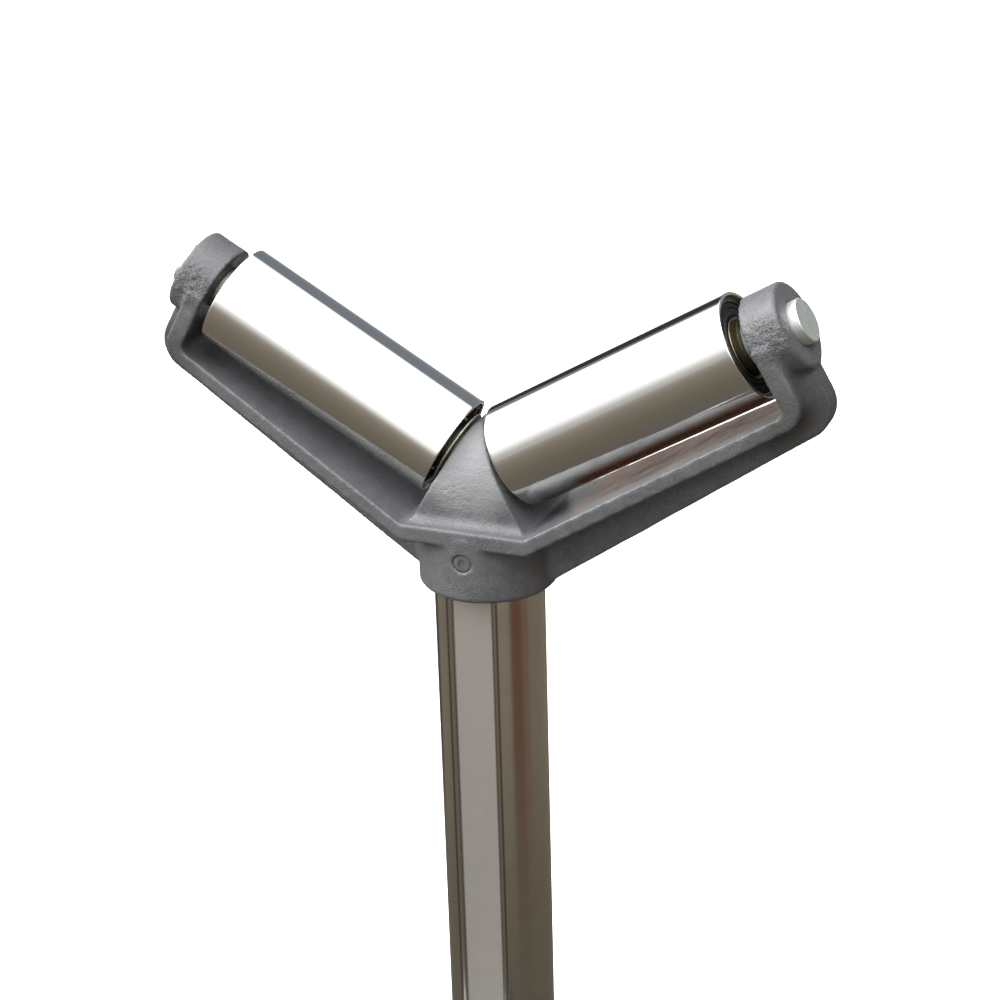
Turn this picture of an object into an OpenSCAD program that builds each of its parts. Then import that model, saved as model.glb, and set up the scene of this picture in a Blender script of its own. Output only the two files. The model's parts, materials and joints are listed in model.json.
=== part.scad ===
// Height-adjustable roller stand with two rollers set in a V.
// Origin: on the floor, under the middle of the post. Z is up, the rollers lie along X, the front is -Y.

/* [Rollers] */
// Outside diameter of a roller tube
roller_d = 50; // [48:0.5:54]
// Length of a roller tube
roller_len = 125; // [100:1:160]
// Wall of a roller tube
roller_wall = 1.5; // [1.2:0.1:2]
// Edge break at a tube's ends
roller_edge = 0.6; // [0.3:0.1:1]
// Rise of each roller's axis above the horizontal, in degrees
v_rise = 30; // [25:1:33]
// Distance along the axis from the axes' crossing to the roller's inner end
roller_start = 18.4; // [17:0.2:24]
// Height of the axes' crossing above the hub's underside
cross_h = 53.8; // [50:0.2:62]

/* [Axles and collars] */
// Diameter of an axle
axle_d = 20; // [18:0.5:20]
// How far the axle's end stands proud of the boss
axle_proud = 4.4; // [3:0.1:8]
// Edge break at the axle's outer end
axle_edge = 1.4; // [0.5:0.1:2]
// Depth of the axle's seat in the pillar
axle_seat = 7; // [5:0.5:7]
// Radial play of the axle in the casting
axle_play = 0.05; // [0.02:0.01:0.08]
// Outside diameter of the collars and the sleeve
collar_d = 26; // [25:0.5:28]
// Length of an outer collar's shoulder against the bearing
shoulder_len = 3; // [2:0.5:5]
// Outside diameter of an outer collar beyond its shoulder
neck_d = 21.6; // [21:0.2:24]
// Diameter of the shield washer between a roller's inner end and the pillar
washer_d = 38; // [34:0.5:40]
// Thickness of the shield washer
washer_t = 1; // [0.8:0.1:1.2]

/* [Ball bearings] */
// Width of a bearing
bearing_w = 14; // [12:0.5:15]
// How far a bearing sits inside the tube's end
bearing_inset = 2; // [1:0.5:4]
// Diameter over the shoulder of the inner race
inner_race_d = 28.8; // [28.4:0.2:29.2]
// Diameter inside the shoulder of the outer race
outer_race_bore = 38.6; // [38:0.2:39]
// Diameter of the circle through the ball centres
ball_circle_d = 33.6; // [33.2:0.1:34]
// Diameter of a ball
ball_d = 7.9; // [7.4:0.1:8]
// Number of balls in a bearing
ball_count = 8; // [6:1:9]
// Gap between a ball and its track
ball_gap = 0.12; // [0.08:0.01:0.2]
// Radial thickness of the cage
cage_t = 2.2; // [1.6:0.1:2.6]
// Width of the cage
cage_w = 10; // [9.4:0.1:10.4]
// Thickness of a seal
seal_t = 1; // [0.6:0.1:1]
// How far a seal lies below the bearing's face
seal_inset = 0.4; // [0.2:0.1:0.5]
// Gap between a seal and the inner race
seal_gap = 0.25; // [0.15:0.05:0.5]

/* [Yoke casting] */
// Diameter of the hub
hub_d = 65; // [64:0.5:72]
// Edge break under the hub
hub_edge = 1.5; // [0.5:0.1:3]
// Depth of the post's socket in the hub
socket_depth = 24; // [18:0.5:26]
// Height of the middle plate's top above the hub's underside
plate_top = 35; // [34:0.2:36]
// Thickness of the middle plate
plate_t = 8; // [6:0.2:9]
// Drop of the tray's top below the roller's axis, at the inner end
tray_drop_in = 31.4; // [30:0.1:33]
// Drop of the tray's top below the roller's axis, at the ear
tray_drop_out = 29.8; // [28:0.1:31]
// Thickness of the tray
tray_t = 7; // [6:0.2:8]
// Half width of the tray at the hub
tray_half_in = 32; // [30:0.5:36]
// Gap between a roller's outer end and the ear
ear_gap = 6; // [4:0.5:8]
// Thickness of the ear
ear_t = 8.5; // [7:0.5:10]
// Diameter of the round boss at the ear
boss_d = 40; // [38:0.5:44]
// Distance from the roller's outer end to the boss's face
boss_reach = 23.5; // [21:0.5:28]
// Edge break of the boss's face
boss_edge = 1.2; // [0.5:0.1:2]
// Inside radius of the bend from tray to ear
bend_r = 4; // [2:0.5:6]
// Outside radius of the bend from tray to ear
bend_outer_r = 11; // [8:0.5:12]
// Thickness of the rib under an arm
rib_t = 11; // [8:0.5:14]
// Depth of the rib below the roller's axis, at the inner end
rib_drop_in = 58.3; // [56:0.1:60]
// Depth of the rib below the roller's axis, at the outer end
rib_drop_out = 47.2; // [44:0.1:49]
// Distance from the roller's outer end to the rib's outer face
rib_reach = 22; // [19:0.5:24]
// Radius of the rib's outer corner
rib_corner_r = 15; // [10:0.5:15.5]
// Fillet between the rib and the plate that it carries
rib_fillet = 7.5; // [2:0.5:8]
// Gap between a roller's inner end and the pillar
pillar_gap = 4; // [2:0.2:4.4]
// Radius of the pillar's top edge
pillar_top_r = 4; // [3:0.2:5]
// Half width of the pillar at its foot, front to back
pillar_half_foot = 25; // [23:0.5:26]
// Radius of the pillar's front and back, which lean together to its ridge
pillar_lean_r = 40; // [38:0.5:44]
// Height above the plate at which the pillar's front starts to lean back
pillar_lean_up = 10; // [6:0.5:12]
// Width of the flat along the pillar's ridge, front to back
pillar_ridge = 4; // [2:0.5:6]
// Fillet round the pillar's foot
pillar_fillet = 3; // [2:0.5:4]

/* [Post] */
// Diameter of the post
post_d = 52; // [50:0.5:54]
// Length of the post
post_len = 565; // [520:5:600]
// Wall of the post
post_wall = 7; // [6.5:0.5:9]
// Width of the floor of the groove down the front
groove_w = 17; // [14:0.5:18]
// Width of the groove at the post's surface
groove_mouth_w = 24.5; // [22:0.5:25]
// Distance from the post's middle to the groove's floor
groove_floor = 21.8; // [21.5:0.1:22.5]
// Height of the hub's underside above the floor, at rest
hub_z = 775; // [760:1:800]

/* [Column and collar] */
// Diameter of the column tube
column_d = 76; // [74:0.5:80]
// Wall of the column tube
column_wall = 4; // [3:0.5:5]
// Height of the column tube's top above the floor
column_top = 500; // [480:1:505]
// Diameter of the collar
collar_head_d = 96; // [90:1:104]
// Length of the collar that grips the column
collar_grip = 48; // [46:1:60]
// Thickness of the collar's top lip
lip_t = 6; // [4:0.5:8]
// Diameter of the opening in the lip
lip_bore = 55; // [54.6:0.2:58]
// Diameter of the collar's front boss
front_boss_d = 36; // [32:0.5:42]
// Distance from the post's middle to the front boss's face
front_boss_reach = 72; // [66:0.5:80]

/* [Guide bushes] */
// Radial play of the post in the upper bush
guide_play = 0.09; // [0.05:0.01:0.1]
// Length of the upper bush inside the column
upper_bush_len = 60; // [55:1:70]
// Thickness of the upper bush's flange
bush_flange_t = 3; // [2:0.5:4]
// Play of the key in the groove, on each side
key_play = 0.3; // [0.25:0.05:0.5]
// Length of the lower bush
lower_bush_len = 40; // [30:1:50]
// Distance from the post's lower end to the lower bush
lower_bush_up = 8; // [5:0.5:12]
// Radial play of the lower bush in the column
lower_bush_play = 0.1; // [0.05:0.01:0.1]
// Flange thickness of the post's end cap
cap_t = 3; // [2:0.5:4]
// Depth of the end cap's plug
cap_plug = 14; // [10:1:20]
// Wall of the end cap's plug
cap_wall = 2.5; // [2:0.5:4]

/* [Clamp] */
// Height of the clamp screw's axis below the column's top
clamp_drop = 24; // [23:0.5:27]
// Diameter of the clamp screw
clamp_d = 16; // [14:0.5:18]
// Radial play of the screw in the collar's thread
thread_play = 0.08; // [0.05:0.01:0.1]
// Diameter of the brass pad
pad_d = 13; // [12.6:0.1:13.4]
// Thickness of the pad
pad_t = 8; // [7:0.5:9]
// Gap between the pad and the groove's floor at rest
pad_gap = 0.3; // [0.2:0.05:0.4]
// Play of the pad in its guide hole
pad_play = 0.3; // [0.2:0.05:0.4]
// Diameter of the screw's pivot in the pad
pivot_d = 10; // [8:0.5:10]
// Length of the screw's pivot
pivot_len = 4; // [3:0.5:5]
// Radial play of the pivot in the pad
pivot_play = 0.08; // [0.05:0.01:0.1]
// Length of bare screw between the collar and the screw's head
clamp_bare = 22; // [16:1:30]
// Diameter of the clamp screw's head
clamp_head_d = 27; // [24:0.5:30]
// Length of the clamp screw's head
clamp_head_len = 25; // [22:0.5:30]
// Diameter of the clamp bar
bar_d = 10; // [8:0.5:12]
// Length of the clamp bar
bar_len = 160; // [120:5:200]
// Diameter of a ball on the clamp bar
bar_ball_d = 24; // [20:1:30]

/* [Base] */
// Diameter of the base's hub
base_hub_d = 104; // [100:1:112]
// Height of the base hub's top above the floor
base_hub_top = 122; // [115:1:140]
// Height of the base hub's underside above the floor
base_hub_low = 22; // [20:1:24]
// Thickness of the seat under the column
seat_t = 10; // [8:0.5:14]
// Diameter of the hole through the seat
seat_hole_d = 40; // [20:1:50]
// Distance from the middle to a foot's centre
foot_reach = 285; // [270:5:330]
// Diameter of a foot lug
lug_d = 60; // [56:1:66]
// Thickness of a foot lug
lug_t = 13; // [10:0.5:16]
// Distance from the middle to an anchor hole
anchor_reach = 236; // [228:1:240]
// Diameter of an anchor hole
anchor_d = 13; // [9:0.5:14]
// Height where a leg's top meets the hub
leg_top_z = 98; // [90:1:108]
// Half width of a leg's top at the hub
leg_half_in = 26; // [22:0.5:30]
// Half width of a leg's top where it widens to the foot lug
leg_half_out = 19; // [16:0.5:22]
// Thickness of a leg's top
leg_t = 8; // [6:0.5:10]
// Thickness of the rib under a leg
leg_rib_t = 11; // [8:0.5:14]
// Height of a rubber foot
foot_h = 14; // [12:0.5:18]
// Diameter of a rubber foot
foot_d = 52; // [46:1:54]
// Edge break under a rubber foot
foot_edge = 2; // [1:0.5:3]

/* [Screws] */
// Diameter of the hub's grub screws
hub_grub_d = 8.8; // [6:0.2:10]
// Height of the grub screws above the hub's underside
hub_grub_h = 19.5; // [14:0.5:20]
// Diameter of the axle grub screws
axle_grub_d = 6; // [5:0.5:8]
// How deep a grub screw's end lies below the surface
grub_sunk = 0.8; // [0.4:0.1:1.5]
// Diameter of the column's set screws
column_screw_d = 10; // [8:0.5:12]
// Length of a column's set screw
column_screw_len = 13.2; // [10:0.1:14]
// Height of the column's set screws above the floor
column_screw_z = 86; // [70:1:100]
// Diameter of the collar's set screws
collar_screw_d = 8; // [6:0.5:10]
// Length of a collar's set screw
collar_screw_len = 9.2; // [7:0.1:10]
// Diameter of the lower bush's screws
bush_screw_d = 5; // [4:0.5:6]
// Diameter of a foot screw's shank
foot_screw_d = 8; // [6:0.5:10]
// Diameter of a foot screw's head
foot_head_d = 14; // [12:0.5:15]
// Thickness of a foot screw's head
foot_head_t = 5; // [4:0.5:6]
// Radial clearance of a screw's head or shank in its hole
screw_play = 0.5; // [0.3:0.1:1]

/* [Hidden] */
$fn = 96;
// Overrun of every cut past the face that it opens
over = 1;

// Radii and places that follow from the sizes above
roller_r = roller_d / 2;
roller_bore_r = roller_r - roller_wall;
roller_end = roller_start + roller_len;
axle_r = axle_d / 2;
axle_hole_r = axle_r + axle_play;
collar_r = collar_d / 2;
neck_r = neck_d / 2;
washer_r = washer_d / 2;
inner_race_r = inner_race_d / 2;
outer_race_r = outer_race_bore / 2;
ball_circle_r = ball_circle_d / 2;
ball_r = ball_d / 2;
track_r = ball_r + ball_gap;
ear_in = roller_end + ear_gap;
ear_out = ear_in + ear_t;
boss_face = roller_end + boss_reach;
boss_r = boss_d / 2;
axle_in = roller_start - pillar_gap - axle_seat;
axle_out = boss_face + axle_proud;
pillar_face = roller_start - pillar_gap;
hub_r = hub_d / 2;
post_r = post_d / 2;
post_bore_r = post_r - post_wall;
post_top = hub_z + socket_depth;
post_low = post_top - post_len;
cross_z = hub_z + cross_h;
plate_low = plate_top - plate_t;
axle_grub_at = (ear_in + boss_face) / 2;

column_r = column_d / 2;
column_bore_r = column_r - column_wall;
seat_z = base_hub_low + seat_t;
collar_head_r = collar_head_d / 2;
collar_low = column_top - collar_grip;
lip_low = column_top + bush_flange_t;
collar_top = lip_low + lip_t;
clamp_z = column_top - clamp_drop;
pad_front = groove_floor + pad_gap;
pad_back = pad_front + pad_t;
pad_hole_r = pad_d / 2 + pad_play;
pivot_r = pivot_d / 2;
clamp_r = clamp_d / 2;
clamp_head_in = front_boss_reach + clamp_bare;
clamp_head_out = clamp_head_in + clamp_head_len;
bar_y = (clamp_head_in + clamp_head_out) / 2;
bar_r = bar_d / 2;
bar_ball_r = bar_ball_d / 2;
collar_screw_z = (collar_low + clamp_z - clamp_r) / 2;
collar_screw_turn = 60;

base_hub_r = base_hub_d / 2;
lug_r = lug_d / 2;
lug_low = foot_h;
lug_top = foot_h + lug_t;
leg_count = 4;
leg_turn = 45;
foot_r = foot_d / 2;
foot_screw_r = foot_screw_d / 2;
foot_head_r = foot_head_d / 2;
foot_head_z = foot_h - foot_head_t - foot_head_t / 2;
bush_screw_z = post_low + lower_bush_up + lower_bush_len / 2;
bush_screw_count = 3;
bush_screw_bite = post_wall / 2;

// Colours
cast_grey = [0.30, 0.31, 0.32];
bright_steel = [0.62, 0.60, 0.56];
chrome_look = [0.85, 0.85, 0.86];
zinc_look = [0.72, 0.74, 0.73];
yellow_zinc = [0.76, 0.74, 0.55];
race_steel = [0.55, 0.53, 0.50];
seal_black = [0.08, 0.08, 0.08];
brass_look = [0.75, 0.60, 0.30];
rubber_black = [0.10, 0.10, 0.10];
ball_black = [0.12, 0.12, 0.13];
bush_look = [0.80, 0.78, 0.70];

// Placing helpers

// Puts children into an arm's frame: X along the roller's axis from the crossing, Z square to it
module in_arm(side) {
  mirror([side < 0 ? 1 : 0, 0, 0])
    translate([0, 0, cross_z])
      rotate([0, -v_rise, 0])
        children();
}

// A straight round bar along X between two places
module bar_x(from, to, r) {
  translate([from, 0, 0])
    rotate([0, 90, 0])
      cylinder(h = to - from, r = r);
}

// A tube along X between two places
module tube_x(from, to, r_out, r_in) {
  difference() {
    bar_x(from, to, r_out);
    bar_x(from - over, to + over, r_in);
  }
}

// A straight round bar along -Y between two distances from the middle
module bar_front(from, to, r) {
  translate([0, -from, 0])
    rotate([90, 0, 0])
      cylinder(h = to - from, r = r);
}

// A front view outline given as [x, z] points, made solid from front to back
module front_outline(points, width) {
  translate([0, width / 2, 0])
    rotate([90, 0, 0])
      linear_extrude(height = width)
        polygon(points);
}

// A side view outline given as [y, z] points, made solid from left to right
module side_outline(points, width) {
  translate([-width / 2, 0, 0])
    rotate([90, 0, 90])
      linear_extrude(height = width)
        polygon(points);
}

// Points of an arc about c
function arc(c, r, from, to, steps = 10) =
  [for (i = [0 : steps]) let (a = from + (to - from) * i / steps) c + r * [cos(a), sin(a)]];

// Arm place (distance along the axis, height above it) to a front view point above the hub's underside
function arm_point(along, up) =
  [along * cos(v_rise) - up * sin(v_rise), cross_h + along * sin(v_rise) + up * cos(v_rise)];

// The same points in reverse order
function reversed(points) = [for (i = [len(points) - 1 : -1 : 0]) points[i]];

// The same points on the other side of the middle, in reverse order
function mirrored(points) = [for (p = reversed(points)) [-p[0], p[1]]];

// Yoke

// Height above the axis of the straight line through the tray's top, at a place along the axis
tray_slope = (tray_drop_in - tray_drop_out) / (ear_in - roller_start);
function tray_line(along) = -tray_drop_in + tray_slope * (along - roller_start);
rib_slope = (rib_drop_in - rib_drop_out) / roller_len;
function rib_line(along) = -rib_drop_in + rib_slope * (along - roller_start);

// Place along the axis where a line of the arm reaches a given height above the hub's underside
function along_at(height, line_in, slope) =
  (height - cross_h - (line_in - slope * roller_start) * cos(v_rise)) / (sin(v_rise) + slope * cos(v_rise));
tray_root = along_at(plate_top, -tray_drop_in, tray_slope);
tray_root_low = along_at(plate_low, -tray_drop_in - tray_t, tray_slope);

bend_in = ear_in - bend_r;
bend_up = tray_line(bend_in) + bend_r;
bend_out = ear_out - bend_outer_r;
bend_out_up = tray_line(bend_out) - tray_t + bend_outer_r;
// How far the rib's fillets lie below the outside of the bend
bend_sunk = 0.15;

// Upper and lower edge of the tray, from the middle plate to the ear, on the right hand side
tray_upper = concat(
  [arm_point(tray_root, tray_line(tray_root))],
  [for (p = arc([bend_in, bend_up], bend_r, 270, 360)) arm_point(p[0], p[1])],
  [arm_point(ear_in, 0)]
);
tray_lower = concat(
  [arm_point(tray_root_low, tray_line(tray_root_low) - tray_t)],
  [for (p = arc([bend_out, bend_out_up], bend_outer_r, 270, 360)) arm_point(p[0], p[1])],
  [arm_point(ear_out, 0)]
);

// Front view of the bent plate that forms the trays, the ears and the middle
tray_outline = concat(
  tray_upper, reversed(tray_lower), mirrored(reversed(tray_lower)), mirrored(tray_upper)
);

// Plan of the trays: wide at the hub, as wide as the boss at the ears
tray_root_x = arm_point(tray_root, tray_line(tray_root))[0];
ear_x = arm_point(ear_in, tray_line(ear_in))[0];
tray_end_x = arm_point(bend_out, bend_out_up)[0] + bend_outer_r + over;
module tray_plan(height) {
  linear_extrude(height = height)
    polygon([
      [-tray_end_x, -boss_r], [-ear_x, -boss_r], [-tray_root_x, -tray_half_in],
      [tray_root_x, -tray_half_in], [ear_x, -boss_r], [tray_end_x, -boss_r],
      [tray_end_x, boss_r], [ear_x, boss_r], [tray_root_x, tray_half_in],
      [-tray_root_x, tray_half_in], [-ear_x, boss_r], [-tray_end_x, boss_r]
    ]);
}

module trays() {
  intersection() {
    translate([0, 0, hub_z])
      front_outline(tray_outline, tray_half_in * 2);
    translate([0, 0, hub_z])
      tray_plan(arm_point(ear_in, boss_r)[1]);
  }
}

// Rib under an arm and up the outside of its ear, in the arm's frame
rib_face = roller_end + rib_reach;
rib_corner = [rib_face - rib_corner_r, rib_line(rib_face - rib_corner_r) + rib_corner_r];
module rib() {
  front_outline(
    concat(
      [[0, rib_line(0)]],
      arc(rib_corner, rib_corner_r, 270, 360),
      [[rib_face, -boss_r / 2], [ear_in + ear_t / 2, -boss_r / 2]],
      [[ear_in + ear_t / 2, -tray_drop_out - tray_t / 2], [0, tray_line(0) - tray_t / 2]]
    ),
    rib_t
  );
  // Fillets under the tray, cut to length where the bend to the ear starts
  translate([0, 0, tray_line(0) - tray_t])
    rotate([0, -atan(tray_slope), 0])
      rotate([90, 0, 90])
        linear_extrude(height = bend_out)
          polygon(fillet_outline(tray_t / 2));
  // The same fillets round the outside of the bend
  translate([bend_out, 0, bend_out_up])
    rotate([90, 0, 0])
      rotate([0, 0, -90])
        rotate_extrude(angle = 90)
          polygon([for (p = fillet_outline(tray_t / 2)) [bend_outer_r - bend_sunk - p[1], p[0]]]);
  // Fillets on the ear's outer side
  translate([ear_out, 0, bend_out_up])
    linear_extrude(height = -bend_out_up)
      rotate([0, 0, 90])
        polygon(fillet_outline(ear_t / 2));
}

// Section of the two fillets beside the rib: [across, away from the plate], sunk into the plate
function fillet_outline(sunk) = concat(
  [[-rib_t / 2 - rib_fillet, sunk]],
  arc([-rib_t / 2 - rib_fillet, -rib_fillet], rib_fillet, 90, 0, 6),
  arc([rib_t / 2 + rib_fillet, -rib_fillet], rib_fillet, 180, 90, 6),
  [[rib_t / 2 + rib_fillet, sunk]]
);

// Round boss at an ear, in the arm's frame
module boss() {
  rotate([0, 90, 0])
    rotate_extrude()
      polygon([
        [0, ear_in], [boss_r, ear_in], [boss_r, boss_face - boss_edge],
        [boss_r - boss_edge, boss_face], [0, boss_face]
      ]);
}

// Pillar between the rollers: its sides are square to the rollers' axes
pillar_tip_up = pillar_face / tan(v_rise);
pillar_tip = arm_point(pillar_face, pillar_tip_up);
pillar_round = [0, pillar_tip[1] - pillar_top_r / sin(v_rise)];
pillar_foot_up = (plate_top + pillar_fillet - cross_h - pillar_face * sin(v_rise)) / cos(v_rise);
pillar_foot = arm_point(pillar_face, pillar_foot_up);
pillar_lean = [pillar_half_foot - pillar_lean_r, plate_top + pillar_lean_up];
module pillar() {
  right = concat(
    [[pillar_foot[0] + pillar_fillet, plate_low], [pillar_foot[0] + pillar_fillet, plate_top]],
    [pillar_foot],
    arc(pillar_round, pillar_top_r, v_rise, 90)
  );
  depth = concat(
    [[pillar_half_foot + pillar_fillet, plate_low], [pillar_half_foot + pillar_fillet, plate_top]],
    [[pillar_half_foot, plate_top + pillar_fillet]],
    arc(pillar_lean, pillar_lean_r, 0, acos((pillar_ridge / 2 - pillar_lean[0]) / pillar_lean_r))
  );
  translate([0, 0, hub_z])
    intersection() {
      front_outline(concat(right, mirrored(right)), tray_half_in * 2);
      side_outline(concat(depth, mirrored(depth)), tray_half_in * 2);
    }
}

module hub() {
  translate([0, 0, hub_z])
    rotate_extrude()
      polygon([
        [0, 0], [hub_r - hub_edge, 0], [hub_r, hub_edge],
        [hub_r, plate_top - plate_t / 2], [0, plate_top - plate_t / 2]
      ]);
}

// Holes for the two hub grub screws, front and back
module hub_grub_holes() {
  translate([0, 0, hub_z + hub_grub_h])
    rotate([90, 0, 0])
      cylinder(h = hub_r * 2 + over * 2, d = hub_grub_d, center = true);
}

module yoke() {
  color(cast_grey)
    difference() {
      union() {
        hub();
        trays();
        pillar();
        for (side = [-1, 1])
          in_arm(side) {
            rib();
            boss();
          }
      }
      translate([0, 0, hub_z - over])
        cylinder(h = socket_depth + over, r = post_r);
      hub_grub_holes();
      for (side = [-1, 1])
        in_arm(side) {
          bar_x(axle_in, pillar_face + over, axle_hole_r);
          bar_x(ear_in - over, boss_face + over, axle_hole_r);
          translate([axle_grub_at, 0, 0])
            rotate([-90, 0, 0])
              cylinder(h = boss_r + over, d = axle_grub_d);
        }
    }
}

// Post

module post_section() {
  mouth_depth = sqrt(post_r * post_r - groove_mouth_w * groove_mouth_w / 4) - groove_floor;
  cut_depth = post_r + over - groove_floor;
  cut_w = groove_w + (groove_mouth_w - groove_w) * cut_depth / mouth_depth;
  difference() {
    circle(r = post_r);
    circle(r = post_bore_r);
    // The groove's sides lean outwards
    translate([0, -groove_floor])
      polygon([
        [-groove_w / 2, 0], [groove_w / 2, 0], [cut_w / 2, -cut_depth], [-cut_w / 2, -cut_depth]
      ]);
  }
}

module post() {
  color(bright_steel)
    difference() {
      translate([0, 0, post_low])
        linear_extrude(height = post_len)
          post_section();
      bush_screw_shanks();
    }
}

module head_grub_screws() {
  color(cast_grey)
    translate([0, 0, hub_z + hub_grub_h]) {
      bar_front(groove_floor, hub_r - grub_sunk, hub_grub_d / 2);
      rotate([0, 0, 180])
        bar_front(post_r, hub_r - grub_sunk, hub_grub_d / 2);
    }
}

// Axles, collars and sleeves

module axle(side) {
  color(zinc_look)
    in_arm(side)
      rotate([0, 90, 0])
        rotate_extrude()
          polygon([
            [0, axle_in], [axle_r, axle_in], [axle_r, axle_out - axle_edge],
            [axle_r - axle_edge, axle_out], [0, axle_out]
          ]);
}

module axle_grub_screws() {
  color(zinc_look)
    for (side = [-1, 1])
      in_arm(side)
        translate([axle_grub_at, axle_r, 0])
          rotate([-90, 0, 0])
            cylinder(h = boss_r - grub_sunk - axle_r, d = axle_grub_d);
}

module outer_spacer(side) {
  bearing_face = roller_end - bearing_inset;
  shoulder_end = bearing_face + shoulder_len;
  color(yellow_zinc)
    in_arm(side)
      difference() {
        union() {
          bar_x(bearing_face, shoulder_end, collar_r);
          bar_x(bearing_face, ear_in, neck_r);
        }
        bar_x(bearing_face - over, ear_in + over, axle_r);
      }
}

// Inner collar with its shield washer halfway between the pillar and the roller's end
module inner_spacer(side) {
  bearing_face = roller_start + bearing_inset;
  washer_in = roller_start - (pillar_gap + washer_t) / 2;
  color(yellow_zinc)
    in_arm(side)
      difference() {
        union() {
          bar_x(pillar_face, bearing_face, collar_r);
          bar_x(washer_in, washer_in + washer_t, washer_r);
        }
        bar_x(pillar_face - over, bearing_face + over, axle_r);
      }
}

module centre_sleeve(side) {
  color(zinc_look)
    in_arm(side)
      tube_x(
        roller_start + bearing_inset + bearing_w, roller_end - bearing_inset - bearing_w,
        collar_r, axle_r
      );
}

// Roller tubes

module roller_tube(side) {
  color(chrome_look)
    in_arm(side)
      rotate([0, 90, 0])
        rotate_extrude()
          polygon([
            [roller_bore_r, roller_start], [roller_r - roller_edge, roller_start],
            [roller_r, roller_start + roller_edge], [roller_r, roller_end - roller_edge],
            [roller_r - roller_edge, roller_end], [roller_bore_r, roller_end]
          ]);
}

// Ball bearings

// Place along the axis of a bearing's middle
function bearing_mid(outboard) = outboard
  ? roller_end - bearing_inset - bearing_w / 2
  : roller_start + bearing_inset + bearing_w / 2;

module at_bearing(side, outboard) {
  in_arm(side)
    translate([bearing_mid(outboard), 0, 0])
      rotate([0, 90, 0])
        children();
}

module inner_race(side, outboard) {
  color(race_steel)
    at_bearing(side, outboard)
      rotate_extrude()
        difference() {
          translate([axle_r, -bearing_w / 2])
            square([inner_race_r - axle_r, bearing_w]);
          translate([ball_circle_r, 0])
            circle(r = track_r);
        }
}

module outer_race(side, outboard) {
  color(race_steel)
    at_bearing(side, outboard)
      rotate_extrude()
        difference() {
          translate([outer_race_r, -bearing_w / 2])
            square([roller_bore_r - outer_race_r, bearing_w]);
          translate([ball_circle_r, 0])
            circle(r = track_r);
        }
}

// Puts a copy of the children at each ball's centre
module at_balls() {
  for (i = [0 : ball_count - 1])
    rotate([0, 0, 360 * i / ball_count])
      translate([ball_circle_r, 0, 0])
        children();
}

module balls(side, outboard) {
  color(chrome_look)
    at_bearing(side, outboard)
      at_balls()
        sphere(r = ball_r);
}

module cage(side, outboard) {
  color(brass_look)
    at_bearing(side, outboard)
      difference() {
        cylinder(h = cage_w, r = ball_circle_r + cage_t / 2, center = true);
        cylinder(h = cage_w + over * 2, r = ball_circle_r - cage_t / 2, center = true);
        at_balls()
          rotate([0, 90, 0])
            cylinder(h = cage_t * 3, r = track_r, center = true);
      }
}

module seals(side, outboard) {
  color(seal_black)
    at_bearing(side, outboard)
      for (face = [-1, 1])
        translate([0, 0, face * (bearing_w / 2 - seal_inset - seal_t / 2)])
          difference() {
            cylinder(h = seal_t, r = outer_race_r, center = true);
            cylinder(h = seal_t + over * 2, r = inner_race_r + seal_gap, center = true);
          }
}

// Guides at the post's lower end

module at_bush_screws() {
  translate([0, 0, bush_screw_z])
    for (i = [0 : bush_screw_count - 1])
      rotate([0, 0, 360 * (i + 1 / 2) / bush_screw_count])
        children();
}

module bush_screw_shanks() {
  at_bush_screws()
    bar_front(post_r - bush_screw_bite, column_bore_r, bush_screw_d / 2);
}

module lower_guide_bush() {
  color(bush_look)
    difference() {
      translate([0, 0, post_low + lower_bush_up])
        difference() {
          cylinder(h = lower_bush_len, r = column_bore_r - lower_bush_play);
          translate([0, 0, -over])
            cylinder(h = lower_bush_len + over * 2, r = post_r);
        }
      bush_screw_shanks();
    }
}

module bush_screws() {
  color(zinc_look)
    at_bush_screws()
      bar_front(
        post_r - bush_screw_bite, column_bore_r - lower_bush_play - grub_sunk, bush_screw_d / 2
      );
}

module post_end_cap() {
  color(rubber_black)
    difference() {
      union() {
        translate([0, 0, post_low - cap_t])
          cylinder(h = cap_t, r = groove_floor);
        translate([0, 0, post_low])
          cylinder(h = cap_plug, r = post_bore_r);
      }
      translate([0, 0, post_low])
        cylinder(h = cap_plug + over, r = post_bore_r - cap_wall);
    }
}

// Base casting with its legs

// Puts a copy of the children along each leg
module at_legs() {
  for (i = [0 : leg_count - 1])
    rotate([0, 0, leg_turn + 360 * i / leg_count])
      children();
}

leg_end = anchor_reach - lug_r;
leg_neck = leg_end - lug_r;
leg_top_end = lug_top;
module leg() {
  // Sloping top plate, cut to a taper in plan
  intersection() {
    front_outline(
      [[0, leg_top_z], [leg_end, leg_top_end], [anchor_reach, leg_top_end],
       [anchor_reach, lug_low], [leg_end, lug_low], [0, leg_top_z - leg_t]],
      leg_half_in * 2
    );
    linear_extrude(height = base_hub_top)
      polygon([
        [0, -leg_half_in], [base_hub_r, -leg_half_in], [leg_neck, -leg_half_out],
        [anchor_reach, -lug_r], [anchor_reach, lug_r], [leg_neck, leg_half_out],
        [base_hub_r, leg_half_in], [0, leg_half_in]
      ]);
  }
  // Rib below it
  front_outline(
    [[0, base_hub_low], [base_hub_r, base_hub_low], [leg_end, lug_low],
     [leg_end, lug_low + lug_t / 2], [0, leg_top_z - leg_t / 2]],
    leg_rib_t
  );
  // Foot lug with room for the pad and the anchor
  translate([foot_reach, 0, lug_low])
    cylinder(h = lug_t, r = lug_r);
  translate([anchor_reach, 0, lug_low])
    cylinder(h = lug_t, r = lug_r);
  translate([anchor_reach, -lug_r, lug_low])
    cube([foot_reach - anchor_reach, lug_d, lug_t]);
}

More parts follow.
